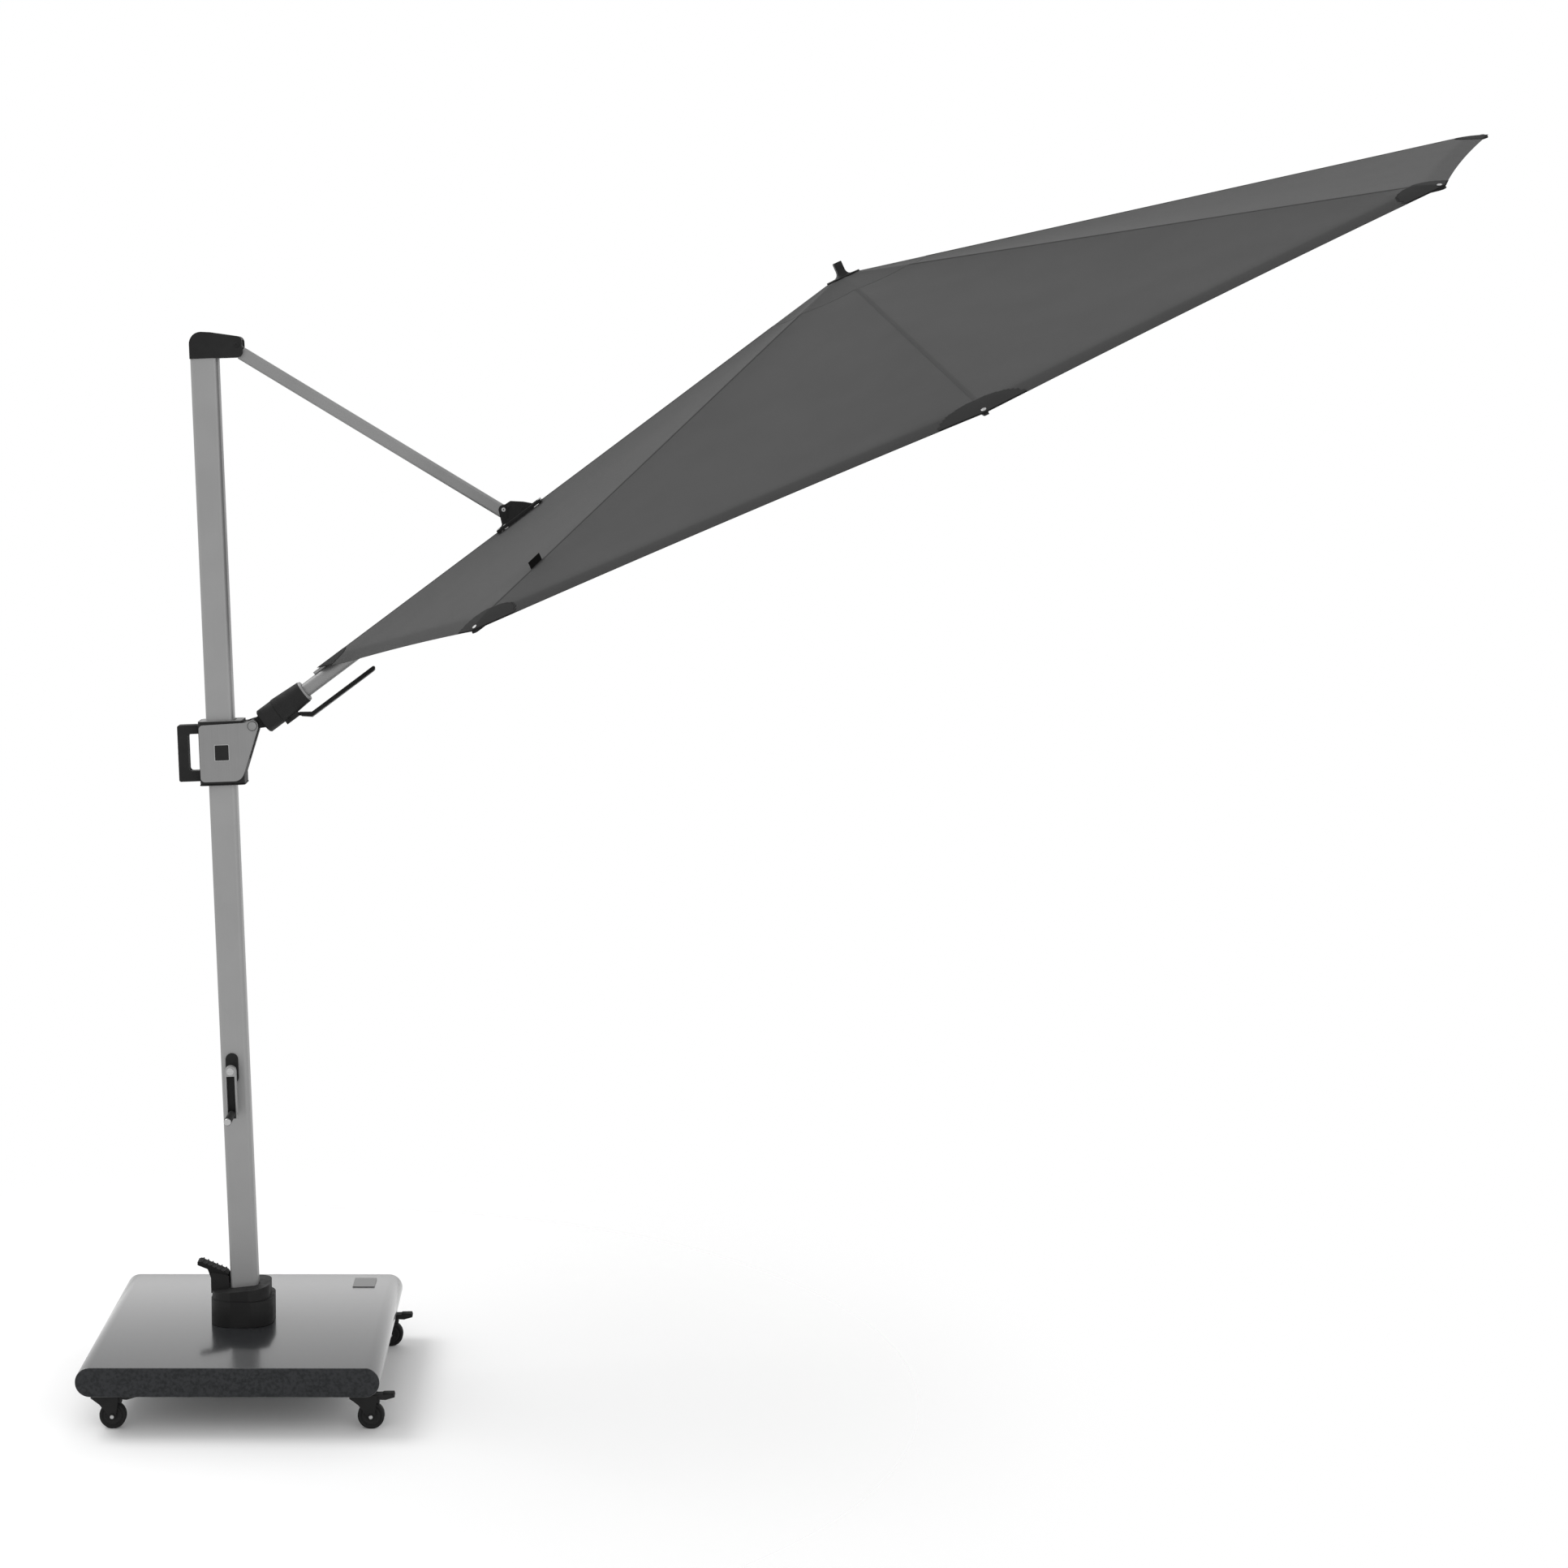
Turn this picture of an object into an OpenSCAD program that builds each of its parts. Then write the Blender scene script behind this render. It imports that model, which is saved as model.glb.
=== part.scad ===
// Free-arm garden parasol: granite base on castors, leaning mast, slider,
// strut and boom, and an octagonal folding canopy.
// Origin: on the floor, under the mast's turning axis. +X runs along the boom.

/* [Base] */
// Width of the granite slab along X
slab_w = 788; // [740:2:840]
// Depth of the granite slab along Y
slab_d = 844; // [800:2:900]
// Thickness of the granite slab
slab_t = 77; // [70:1:84]
// Height of the slab's underside above the floor
castor_h = 106; // [104:1:110]
// Distance of each castor's swivel axis from the slab's centre along X
castor_x = 337; // [320:1:345]
// Distance of each castor's swivel axis from the slab's centre along Y
castor_y = 345; // [320:1:360]
// Trail of a castor's wheel behind its swivel axis
castor_trail = 29; // [25:1:32]
// Radius of a castor's wheel
wheel_r = 35; // [33:1:36]

/* [Mast] */
// Lean of the mast away from the canopy
mast_lean = 2; // [1:0.5:3]
// Width of the mast in the boom's plane
mast_w = 74; // [72:1:76]
// Depth of the mast across the boom's plane
mast_d = 56; // [54:1:58]
// Wall of the mast's tube
mast_wall = 2; // [1.5:0.5:3]
// Height of the mast's top above the slab, along the mast
mast_top = 2624; // [2600:1:2640]
// Height of the crank's axis above the slab, along the mast
crank_a = 697; // [660:1:740]

/* [Linkage] */
// Distance of the head pin and the slider pin from the mast's centre line
hinge_b = 90; // [88:1:94]
// Height of the head pin above the slab, along the mast
head_a = 2640; // [2636:1:2644]
// Height of the slider pin above the slab, along the mast
slider_a = 1623.6; // [1600:0.1:1640]
// Distance of the bracket pin from the mast's centre line
bracket_b = 786; // [770:1:800]
// Slope of the boom above the mast's normal
boom_angle = 34.8; // [33:0.1:36]
// Height of the bracket pin above the boom's axis
bracket_w = 29.9; // [29.5:0.1:31]
// Outer radius of the boom's tube
boom_r = 19; // [18:0.5:19]
// Turn of the canopy about the boom at rest
roll_rest = 0.9; // [0:0.1:2]

/* [Canopy] */
// Length of a canopy ridge from the apex to the tip
rib_length = 1750; // [1600:10:1800]
// Slope of the open ribs below the canopy's plane
rib_slope = 12.2; // [11:0.1:13]
// Distance of the canopy's apex from the bracket pin's foot, along the boom
apex_u = 1118; // [1080:1:1150]
// Height of the canopy's apex above the boom's axis
apex_w = 29.6; // [29.4:0.1:30.4]
// Distance of each rib's stretcher pin from its root pin, along the rib
stretcher_at = 460; // [440:1:470]

/* [Hidden] */
$fn = 48;
slab_top = castor_h + slab_t;
// the bracket pin lies halfway between the head pin and the slider pin,
// so that the slider runs exactly along the mast
bracket_a = (head_a + slider_a) / 2;
strut_length = norm([bracket_b - hinge_b, head_a - bracket_a]);
strut_angle = atan2(head_a - bracket_a, bracket_b - hinge_b);
// foot of the bracket pin on the boom's axis, in the mast's frame
boom_o = [bracket_b + bracket_w * sin(boom_angle), bracket_a - bracket_w * cos(boom_angle)];
slider_pin_d = [hinge_b, slider_a] - boom_o;
slider_u = slider_pin_d[0] * cos(boom_angle) + slider_pin_d[1] * sin(boom_angle);
slider_w = slider_pin_d[1] * cos(boom_angle) - slider_pin_d[0] * sin(boom_angle);
// root pins of the ribs, in the hub's frame
root_r = 45;
root_z = -21;
pin_r = 3;
bore_r = 3.05;
// play between parts that are fixed to each other
fit = 0.05;
// drop of a stretcher's pin below its rib's centre line
stretcher_drop = 16;
stretcher_length = norm([stretcher_at, stretcher_drop]);
stretcher_psi = 90 - rib_slope - atan2(stretcher_drop, stretcher_at);
runner_z = root_z - 2 * stretcher_length * cos(stretcher_psi);
root_u = apex_u - root_r * cos(rib_slope) + root_z * sin(rib_slope);
root_w = apex_w + root_r * sin(rib_slope) + root_z * cos(rib_slope);
boom_end_u = root_u - 30;
rib_reach = rib_length - root_r / cos(rib_slope) - 66;
rib_azimuths = [0, 45, 90, 135, 225, 270, 315];
castor_signs = [[-1, -1], [1, -1], [-1, 1], [1, 1]];
silver = "#b4b4b2";
black = "#2a2a2c";
steel = "#c8c8c8";
granite = "#4b4c4e";
fabric = "#6a6b6c";

// ---- frames ----
// x across the mast in the boom's plane, z along the mast from the slab's top
module on_mast() {
  translate([0, 0, slab_top]) rotate([0, -mast_lean, 0]) children();
}
// x along the boom towards the hub, z towards the canopy
module on_boom() {
  on_mast() translate([boom_o[0], 0, boom_o[1]]) rotate([0, -boom_angle, 0]) children();
}
module on_roll() {
  on_boom() rotate([roll_rest, 0, 0]) children();
}
// z along the canopy's axis, origin at its apex
module on_hub() {
  on_roll() translate([apex_u, 0, apex_w]) rotate([0, rib_slope, 0]) children();
}
// x from the head pin to the bracket pin
module on_strut() {
  on_mast() translate([hinge_b, 0, head_a]) rotate([0, strut_angle, 0]) children();
}
// x along a rib from its root pin
module on_rib(az) {
  on_hub() rotate([0, 0, az]) translate([root_r, 0, root_z]) rotate([0, rib_slope, 0]) children();
}
// x along a stretcher from its pin on the rib to its pin on the runner
module on_stretcher(az) {
  pin_x = root_r + stretcher_length * sin(stretcher_psi);
  pin_z = root_z - stretcher_length * cos(stretcher_psi);
  on_hub() rotate([0, 0, az]) translate([pin_x, 0, pin_z])
    rotate([0, 90 + stretcher_psi, 0]) children();
}
module on_castor(n) {
  s = castor_signs[n - 1];
  translate([s[0] * castor_x, s[1] * castor_y, 0]) children();
}

// ---- shared shapes ----
// points of an arc in a plane
function arc(c, r, a0, a1, n = 8) =
  [for (i = [0:n]) c + r * [cos(a0 + (a1 - a0) * i / n), sin(a0 + (a1 - a0) * i / n)]];
// rectangle with round corners, centred
module rounded_rect(w, d, r) {
  square([w - 2 * r, d], center = true);
  square([w, d - 2 * r], center = true);
  for (sx = [-1, 1], sy = [-1, 1])
    translate([sx * (w / 2 - r), sy * (d / 2 - r)]) circle(r = r);
}
// an outline in the XZ plane, given its thickness along Y and centred on it
module plate_y(t, y = 0) {
  translate([0, y + t / 2, 0]) rotate([90, 0, 0]) linear_extrude(height = t) children();
}
// a round bar along Y
module bar_y(r, l, y = 0) {
  translate([0, y, 0]) rotate([90, 0, 0]) cylinder(r = r, h = l, center = true);
}
// a turned shape along X from a profile of [radius, x] points
module turned_x(points) {
  rotate([0, 90, 0]) rotate_extrude() polygon(points);
}

// ---- base ----
flange_r = 68;
flange_bolt_at = 54;
module flange_bolt_places() {
  for (a = [45:90:315]) rotate([0, 0, a]) translate([flange_bolt_at, 0, 0]) children();
}
module granite_slab() {
  edge_r = slab_t / 2;
  color(granite) difference() {
    translate([0, 0, castor_h + edge_r]) plate_y(slab_d) {
      square([slab_w - slab_t, slab_t], center = true);
      for (s = [-1, 1]) translate([s * (slab_w / 2 - edge_r), 0]) circle(r = edge_r, $fn = 96);
    }
    flange_bolt_places() translate([0, 0, slab_top - 34]) cylinder(r = 4.5, h = 40);
  }
}
badge_size = [62, 84, 1.5];
module base_badge() {
  color(silver) translate([293, 338, slab_top + badge_size[2] / 2])
    cube(badge_size, center = true);
}
spigot_r = 20;
module base_flange() {
  color(steel) translate([0, 0, slab_top]) difference() {
    union() {
      cylinder(r = flange_r, h = 8);
      cylinder(r = spigot_r, h = 98);
    }
    flange_bolt_places() translate([0, 0, -1]) cylinder(r = 4.5, h = 12);
  }
  color(steel) flange_bolt_places() {
    translate([0, 0, slab_top - 30]) cylinder(r = 4.3, h = 40);
    translate([0, 0, slab_top + 8]) cylinder(r = 7.5, h = 5.3, $fn = 6);
  }
}

// ---- castors ----
plate_side = 64;
race_z = castor_h - 4;
fork_y = 16;
brake_x = castor_trail + 8;
brake_z = race_z - 18;
module castor_plates() {
  for (n = [1:4]) on_castor(n) {
    color(black) translate([0, 0, castor_h - 2]) cube([plate_side, plate_side, 4], center = true);
    for (sx = [-1, 1], sy = [-1, 1])
      color(black) translate([sx * 25, sy * 25, race_z - 2.5]) cylinder(r = 5, h = 2.5);
  }
}
// fork, ball race and axle of one castor
module castor_fork(n) {
  color(black) on_castor(n) {
    translate([0, 0, race_z - 9.4]) cylinder(r = 21, h = 9);
    translate([0, 0, race_z - 12]) cylinder(r = 24, h = 3);
    for (s = [-1, 1]) plate_y(3, s * fork_y) union() {
      polygon([[-27, race_z - 11], [brake_x + 8, race_z - 11], [brake_x + 8, brake_z - 8],
        [castor_trail + 9, wheel_r], [castor_trail - 9, wheel_r], [-4, race_z - 36], [-27, race_z - 19]]);
      translate([castor_trail, wheel_r]) circle(r = 9);
    }
    translate([castor_trail, 0, wheel_r]) bar_y(4, 2 * fork_y + 9);
    translate([brake_x, 0, brake_z]) bar_y(2.5, 2 * fork_y + 4);
    for (s = [-1, 1]) translate([castor_trail, 0, wheel_r]) bar_y(7, 3, s * (fork_y + 3));
  }
}
module castor_wheel(n) {
  color(black) on_castor(n) translate([castor_trail, 0, wheel_r]) rotate([90, 0, 0])
    rotate_extrude($fn = 72) polygon([[4.05, -12], [12, -12], [12, -9], [wheel_r - 9, -9],
      [wheel_r - 7, -11], [wheel_r - 3, -11], [wheel_r, -8], [wheel_r, 8], [wheel_r - 3, 11],
      [wheel_r - 7, 11], [wheel_r - 9, 9], [12, 9], [12, 12], [4.05, 12]]);
}
// brake lever above a wheel, turning on a pin in the fork
module castor_brake(n) {
  color(black) on_castor(n) difference() {
    union() {
      plate_y(26) polygon([[brake_x - 4.5, brake_z + 3.5], [brake_x + 2, brake_z + 8],
        [castor_trail + 58, brake_z + 9], [castor_trail + 62, brake_z + 6],
        [castor_trail + 62, brake_z + 1], [castor_trail + 38, brake_z - 6],
        [brake_x + 14, brake_z - 5], [brake_x + 14, brake_z - 20], [brake_x + 5, brake_z - 20],
        [brake_x + 5, brake_z - 7], [brake_x - 4.2, brake_z - 3.8]]);
      bar_y_at(brake_x, brake_z, 6, 27);
    }
    translate([brake_x, 0, brake_z]) bar_y(2.55, 40);
    translate([castor_trail, 0, wheel_r]) bar_y(wheel_r + 3, 40);
  }
}

// ---- mast ----
module mast_foot() {
  color(black) difference() {
    on_mast() translate([0, 0, 12]) linear_extrude(height = 118)
      rounded_rect(mast_w - 2 * mast_wall - 0.4, mast_d - 2 * mast_wall - 0.4, 10);
    translate([0, 0, slab_top]) cylinder(r = spigot_r + 0.05, h = 100);
  }
}
module mast_tube() {
  color(silver) on_mast() difference() {
    translate([0, 0, 20]) linear_extrude(height = mast_top - 20) difference() {
      rounded_rect(mast_w, mast_d, 12);
      rounded_rect(mast_w - 2 * mast_wall, mast_d - 2 * mast_wall, 10);
    }
    translate([crank_b, 0, crank_a]) bar_y(crank_bore_r, mast_d + 10);
  }
}
cover_top = 96;
cover_step = 68;
// two-tier cover around the mast's foot, with the ears of the foot pedal
pedal_b = -80;
pedal_a = 112;
ear_y = 24;
module cover_body(inset) {
  translate([-8, 0, slab_top + 1]) linear_extrude(height = cover_step - inset)
    rounded_rect(168 - 2 * inset, 166 - 2 * inset, 58 - inset);
  translate([-12, 0, slab_top + 1]) linear_extrude(height = cover_top + 12 - inset)
    rounded_rect(156 - 2 * inset, 152 - 2 * inset, 54 - inset);
}
module cover_cut(depth) {
  translate([-12, 0, slab_top + cover_top - depth]) rotate([0, -6, 0])
    translate([0, 0, 50]) cube([260, 260, 100], center = true);
}
module socket_cover() {
  color(black) {
    difference() {
      cover_body(0);
      cover_cut(0);
      difference() {
        translate([0, 0, -2]) cover_body(4);
        cover_cut(4);
      }
      on_mast() linear_extrude(height = 200) rounded_rect(mast_w + 1, mast_d + 1, 12.5);
    }
    for (s = [-1, 1]) on_mast() difference() {
      plate_y(5, s * ear_y) union() {
        polygon([[pedal_b - 10, 82], [pedal_b + 40, 88], [pedal_b + 40, pedal_a + 12],
          [pedal_b + 34, pedal_a + 17], [pedal_b - 4, pedal_a + 26], [pedal_b - 9, pedal_a + 22]]);
        translate([pedal_b, pedal_a]) circle(r = 8);
      }
      cover_inner_trim();
    }
    on_mast() translate([pedal_b, 0, pedal_a]) bar_y(4, 2 * ear_y + 8);
  }
}
module cover_inner_trim() {
  rotate([0, mast_lean, 0]) translate([0, 0, -slab_top]) difference() {
    translate([0, 0, -2]) cover_body(2);
    cover_cut(2);
  }
}
// treadle with ribs that unlocks the mast's turn
module foot_pedal() {
  color(black) on_mast() difference() {
    union() {
      bar_y_at(pedal_b, pedal_a, 8, 2 * ear_y - 6);
      plate_y(2 * ear_y - 6) polygon([[pedal_b - 7, pedal_a], [pedal_b + 7, pedal_a],
        [pedal_b + 16, pedal_a + 18], [pedal_b + 34, pedal_a + 11], [pedal_b + 37, pedal_a + 18],
        [pedal_b + 33, pedal_a + 23], [pedal_b - 38, pedal_a + 56], [pedal_b - 45, pedal_a + 54],
        [pedal_b - 45, pedal_a + 46], [pedal_b - 18, pedal_a + 34]]);
      for (i = [0:5]) translate([pedal_b - 32 + i * 12, 0, pedal_a + 53 - i * 5.58])
        cube([4, 42, 6], center = true);
    }
    translate([pedal_b, 0, pedal_a]) bar_y(4.05, 100);
  }
}
module bar_y_at(x, z, r, l) {
  translate([x, 0, z]) bar_y(r, l);
}
// cap of the mast with a slot for the strut
head_d = 62;
head_slot = 36.4;
module mast_head() {
  color(black) on_mast() difference() {
    plate_y(head_d) polygon(concat(
      [[-37, 2607]],
      arc([-5, 2646], 32, 180, 90),
      [[20, 2676]],
      arc([88, 2648], 16, 70, 0),
      arc([90, 2621], 14, 0, -90)));
    translate([50, -head_slot / 2, 2600]) cube([80, head_slot, 53]);
    translate([0, 0, 2500]) linear_extrude(height = mast_top - 2500)
      rounded_rect(mast_w + 2 * fit, mast_d + 2 * fit, 12);
    translate([hinge_b, 0, head_a]) bar_y(5 + fit, 100);
  }
}
module strut_pin() {
  color(steel) on_mast() bar_y_at(hinge_b, head_a, 5, head_d - 1);
}

// ---- crank ----
crank_b = -6;
crank_shaft_r = 7;
crank_bore_r = 7.06;
crank_reach = 114;
shaft_reach = 40;
arm_y = -mast_d / 2 - 38;
grip_y = arm_y - 5.5;
module stadium(r, z0, z1) {
  for (z = [z0, z1]) translate([0, z]) circle(r = r);
  translate([-r, z0]) square([2 * r, z1 - z0]);
}
module crank_escutcheon() {
  color(black) on_mast() translate([crank_b, 0, 0]) difference() {
    plate_y(5, -mast_d / 2 - 2.5) stadium(17, crank_a - 24, crank_a + 24);
    bar_y_at(0, crank_a, crank_bore_r, 100);
  }
}
// shaft with the winding drum inside the mast
module crank_shaft() {
  color(steel) on_mast() translate([crank_b, 0, crank_a]) {
    rotate([90, 0, 0]) translate([0, 0, -mast_d / 2]) cylinder(r = crank_shaft_r, h = mast_d + shaft_reach);
    bar_y(17, 32);
    for (s = [-1, 1]) bar_y(20, 3, s * 17);
  }
}
module crank_arm() {
  color(silver) on_mast() translate([crank_b, 0, crank_a]) difference() {
    plate_y(18, arm_y) union() {
      circle(r = 15);
      translate([-15, -crank_reach - 16]) square([30, crank_reach + 16]);
    }
    plate_y(15, arm_y - 2.5) translate([-11, -crank_reach - 17]) square([22, crank_reach + 4]);
    bar_y(crank_shaft_r + fit, 100, 50 - mast_d / 2 - shaft_reach - fit);
    translate([0, grip_y, -crank_reach]) rotate([0, 90, 0]) cylinder(r = bore_r, h = 60, center = true);
  }
}
// grip that folds up into the arm's channel
module crank_grip() {
  color(black) on_mast() translate([crank_b, grip_y, crank_a - crank_reach]) {
    rotate([0, 90, 0]) cylinder(r = pin_r, h = 29, center = true);
    rotate([0, 90, 0]) cylinder(r = 6, h = 21, center = true);
    rotate([90, 0, 0]) cylinder(r = 6.4, h = 14);
    translate([0, -10, 0]) rotate([90, 0, 0]) cylinder(r = 10, h = 86);
  }
}

// ---- slider ----
slider_y = 44;
neck_y = 15.5;
slider_bottom = slider_a - 153;
function slider_outline() = concat(
  arc([-43, slider_a - 5], 11, 180, 90),
  [[hinge_b - 22, slider_a + 9]],
  arc([hinge_b, slider_a], 15, 105, -22),
  arc([36, slider_bottom + 33], 27, -18, -90),
  arc([-42, slider_bottom + 18], 12, -90, -180));
module slider_core() {
  color(black) on_mast() difference() {
    union() {
      plate_y(2 * slider_y) polygon(slider_outline());
      translate([3, 0, slider_bottom]) linear_extrude(height = 168) rounded_rect(120, 2 * slider_y - 2, 10);
    }
    linear_extrude(height = 2000) rounded_rect(mast_w + 1.2, mast_d + 1.2, 12.6);
    translate([72, -neck_y - 1, slider_bottom - 5]) cube([60, 2 * neck_y + 2, 190]);
    bar_y_at(hinge_b, slider_a, 6 + fit, 200);
  }
}
module slider_covers() {
  color(silver) on_mast() difference() {
    for (s = [-1, 1]) plate_y(3, s * (slider_y + 1.5)) polygon(slider_outline());
    bar_y_at(hinge_b, slider_a, 6 + fit, 200);
  }
}
module slider_pin() {
  color(silver) on_mast() translate([hinge_b, 0, slider_a]) {
    bar_y(6, 2 * slider_y + 8);
    for (s = [-1, 1]) bar_y(13, 2, s * (slider_y + 4));
  }
}
handle_out = -116;
handle_in = -57;
handle_y = 34;
module slider_handle() {
  color(black) on_mast() difference() {
    plate_y(handle_y) polygon(concat(
      [[handle_in, slider_bottom + 6]],
      arc([handle_out + 5, slider_bottom + 11], 5, -90, -180, 4),
      arc([handle_out + 5, slider_bottom + 153], 5, 180, 90, 4),
      [[handle_in, slider_bottom + 158]]));
    plate_y(handle_y + 2) polygon(concat(
      [[handle_in + 1, slider_bottom + 34]],
      arc([-80, slider_bottom + 42], 8, -90, -180, 4),
      arc([-80, slider_bottom + 126], 8, 180, 90, 4),
      [[handle_in + 1, slider_bottom + 134]]));
    translate([-106, -12.6, slider_bottom + 34]) cube([22, 25.2, 100]);
    for (z = [60, 108]) translate([-115, 0, slider_bottom + z]) rotate([0, 90, 0]) cylinder(r = 3.05, h = 30);
  }
}
// squeeze bar inside the handle that frees the slider
module release_trigger() {
  color(black) on_mast() {
    plate_y(24) translate([-99, slider_bottom + 36]) square([11, 96]);
    for (z = [60, 108]) translate([-108.5, 0, slider_bottom + z]) rotate([0, 90, 0]) cylinder(r = 3, h = 11.5);
  }
}

// ---- arm: knuckle at the slider and bracket at the strut ----
collar_r = 34.5;
split_u = slider_u + 73;
// eye, neck and lower collar, with the spindle on which the boom turns
module arm_knuckle() {
  color(black) on_boom() difference() {
    union() {
      bar_y_at(slider_u, slider_w, 14, 2 * neck_y);
      plate_y(2 * neck_y) polygon([[slider_u - 4, slider_w + 13], [slider_u + 26, slider_w + 12],
        [slider_u + 26, slider_w - 27], [slider_u + 2, slider_w - 13.5]]);
      turned_x([[0, slider_u + 24], [-collar_r + 3, slider_u + 24], [-collar_r, slider_u + 27],
        [-collar_r, split_u - 0.5], [-14, split_u - 0.5], [-14, split_u + 52], [-16.95, split_u + 53],
        [-16.95, split_u + 66], [-14, split_u + 67], [-14, split_u + 150], [-16.95, split_u + 151],
        [-16.95, split_u + 164], [0, split_u + 164]]);
    }
    bar_y_at(slider_u, slider_w, 6.05, 100);
  }
}
cheek_in = 20;
cheek_t = 4;
stirrup_half = 12;
// stirrup under the boom, with two cheeks that carry the strut's pin
module bracket() {
  color(black) on_boom() difference() {
    union() {
      for (s = [-1, 1]) plate_y(cheek_t, s * (cheek_in + cheek_t / 2)) union() {
        polygon([[-stirrup_half, 0], [stirrup_half, 0], [stirrup_half, 10.5], [30, 18], [92, 26],
          [95, 34], [76, 54.5], [49, 77], [34, 78], [33, 62], [20, 44], [8, 38], [-9, 36],
          [-stirrup_half, bracket_w]]);
        translate([0, bracket_w]) circle(r = 11.5);
      }
      intersection() {
        turned_x([[-boom_r - 0.35, -stirrup_half], [-cheek_in - cheek_t, -stirrup_half],
          [-cheek_in - cheek_t, stirrup_half], [-boom_r - 0.35, stirrup_half]]);
        translate([-50, -50, -50]) cube([100, 100, 50]);
      }
      translate([68, -cheek_in - 0.5, 23]) cube([22, 2 * cheek_in + 1, 4]);
    }
    bar_y_at(0, bracket_w, 4.5 + fit, 100);
  }
}
module bracket_pin() {
  color(steel) on_boom() translate([0, 0, bracket_w]) {
    bar_y(4.5, 2 * (cheek_in + cheek_t));
    for (s = [-1, 1]) bar_y(7, 2, s * (cheek_in + cheek_t + 1));
  }
}

// ---- strut ----
strut_side = 34;
strut_skew = 2.88;
strut_start_z = -13.8;
bolt_x = strut_length - 29.9;
bolt_z = 34;
module on_strut_axis() {
  translate([0, 0, strut_start_z]) rotate([0, -strut_skew, 0]) children();
}
strut_tube_from = 20;
tube_gap_x = strut_tube_from - 0.1;
strut_tube_to = bolt_x + 5;
module strut_tube() {
  color(silver) on_strut() on_strut_axis() translate([strut_tube_from, 0, 0]) rotate([90, 0, 90])
    linear_extrude(height = strut_tube_to - strut_tube_from) difference() {
      rounded_rect(strut_side, strut_side, 6);
      rounded_rect(strut_side - 4, strut_side - 4, 4);
    }
}
// eye at the head pin and knuckle at the bracket pin
module strut_ends() {
  color(black) on_strut() {
    difference() {
      union() {
        bar_y_at(0, 0, 11, 30);
        on_strut_axis() plate_y(30) polygon([[0.7, 22], [tube_gap_x, 15.5], [tube_gap_x, -15], [0.7, 6]]);
        on_strut_axis() translate([12, -13.5, -13.5]) cube([60, 27, 27]);
      }
      bar_y_at(0, 0, 5.05, 100);
    }
    difference() {
      union() {
        bar_y_at(strut_length, 0, 9, 38);
        bar_y_at(bolt_x, bolt_z, 13, 38);
        plate_y(38) polygon([[bolt_x - 12, bolt_z - 7], [bolt_x + 9, bolt_z + 9.5],
          [strut_length + 8.5, 3], [strut_length - 7, -5.5]]);
      }
      bar_y_at(strut_length, 0, 4.55, 100);
      on_strut_axis() translate([600, -strut_side / 2 - 0.05, -60])
        cube([strut_tube_to - 600 + 0.1, strut_side + 0.1, 120]);
    }
  }
}

// ---- boom ----
ring_half = 16;
module boom_tube() {
  color(silver) on_roll() {
    difference() {
      translate([split_u + 46, 0, 0]) rotate([0, 90, 0]) cylinder(r = boom_r, h = boom_end_u - split_u - 46);
      translate([split_u + 40, 0, 0]) rotate([0, 90, 0]) cylinder(r = boom_r - 2, h = boom_end_u - split_u);
    }
    for (u = [-ring_half, ring_half - 3.5]) translate([u, 0, 0]) rotate([0, 90, 0]) difference() {
      cylinder(r = 22, h = 3.5);
      translate([0, 0, -1]) cylinder(r = boom_r - 0.5, h = 6);
    }
  }
}
rail_top = apex_w - 3;
rail_cut = [-40, 122];
module boom_end() {
  color(black) on_roll() difference() {
    union() {
      translate([boom_end_u - 60, 0, 0]) rotate([0, 90, 0]) cylinder(r = boom_r - 2, h = 60);
      translate([boom_end_u, 0, 0]) rotate([0, 90, 0]) cylinder(r = boom_r, h = 4);
      translate([boom_end_u, -5, 0]) cube([5, 10, root_w + 6]);
      translate([boom_end_u, -5, root_w - 7]) cube([30, 10, 13]);
      bar_y_at(root_u, root_w, 8, 10);
    }
    bar_y_at(root_u, root_w, bore_r, 40);
  }
}
// rail on the boom under the canopy's rear ridge
module boom_rail() {
  color(silver) on_roll() {
    for (span = [[apex_u - rib_length - 18, rail_cut[0]], [rail_cut[1], boom_end_u - 4]])
      translate([span[0], -6, boom_r + 0.05]) cube([span[1] - span[0], 12, rail_top - boom_r]);
  }
}
module roll_collar() {
  color(black) on_roll() difference() {
    union() {
      turned_x([[0, split_u], [-35.5, split_u], [-35.5, split_u + 8], [-30.5, split_u + 87],
        [0, split_u + 87]]);
      translate([split_u, -14, -44]) cube([40, 28, 30]);
    }
    translate([split_u - 1, 0, 0]) rotate([0, 90, 0]) cylinder(r = 14.6, h = 60);
    translate([split_u + 46 - fit, 0, 0]) rotate([0, 90, 0]) cylinder(r = boom_r + fit, h = 60);
  }
}
module tilt_lever() {
  lever_u = split_u + 40;
  color(black) on_roll() plate_y(24) polygon(concat(
    [[lever_u, -44], [lever_u, -36], [lever_u + 4, -37], [lever_u + 30, -56]],
    arc([lever_u + 234, -61], 5, 90, -90),
    [[lever_u + 26, -66]]));
}
rim_outer = [-26, 118];
rim_frame = 9;
rim_half = 52;
// plate around the bracket's opening in the canopy
module rim_plate() {
  color(silver) on_roll() difference() {
    translate([rim_outer[0], -rim_half, apex_w + 0.3])
      cube([rim_outer[1] - rim_outer[0], 2 * rim_half, 6]);
    translate([rim_outer[0] + rim_frame, -rim_half + 11, 0])
      cube([rim_outer[1] - rim_outer[0] - 2 * rim_frame, 2 * rim_half - 22, 60]);
  }
}

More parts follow.
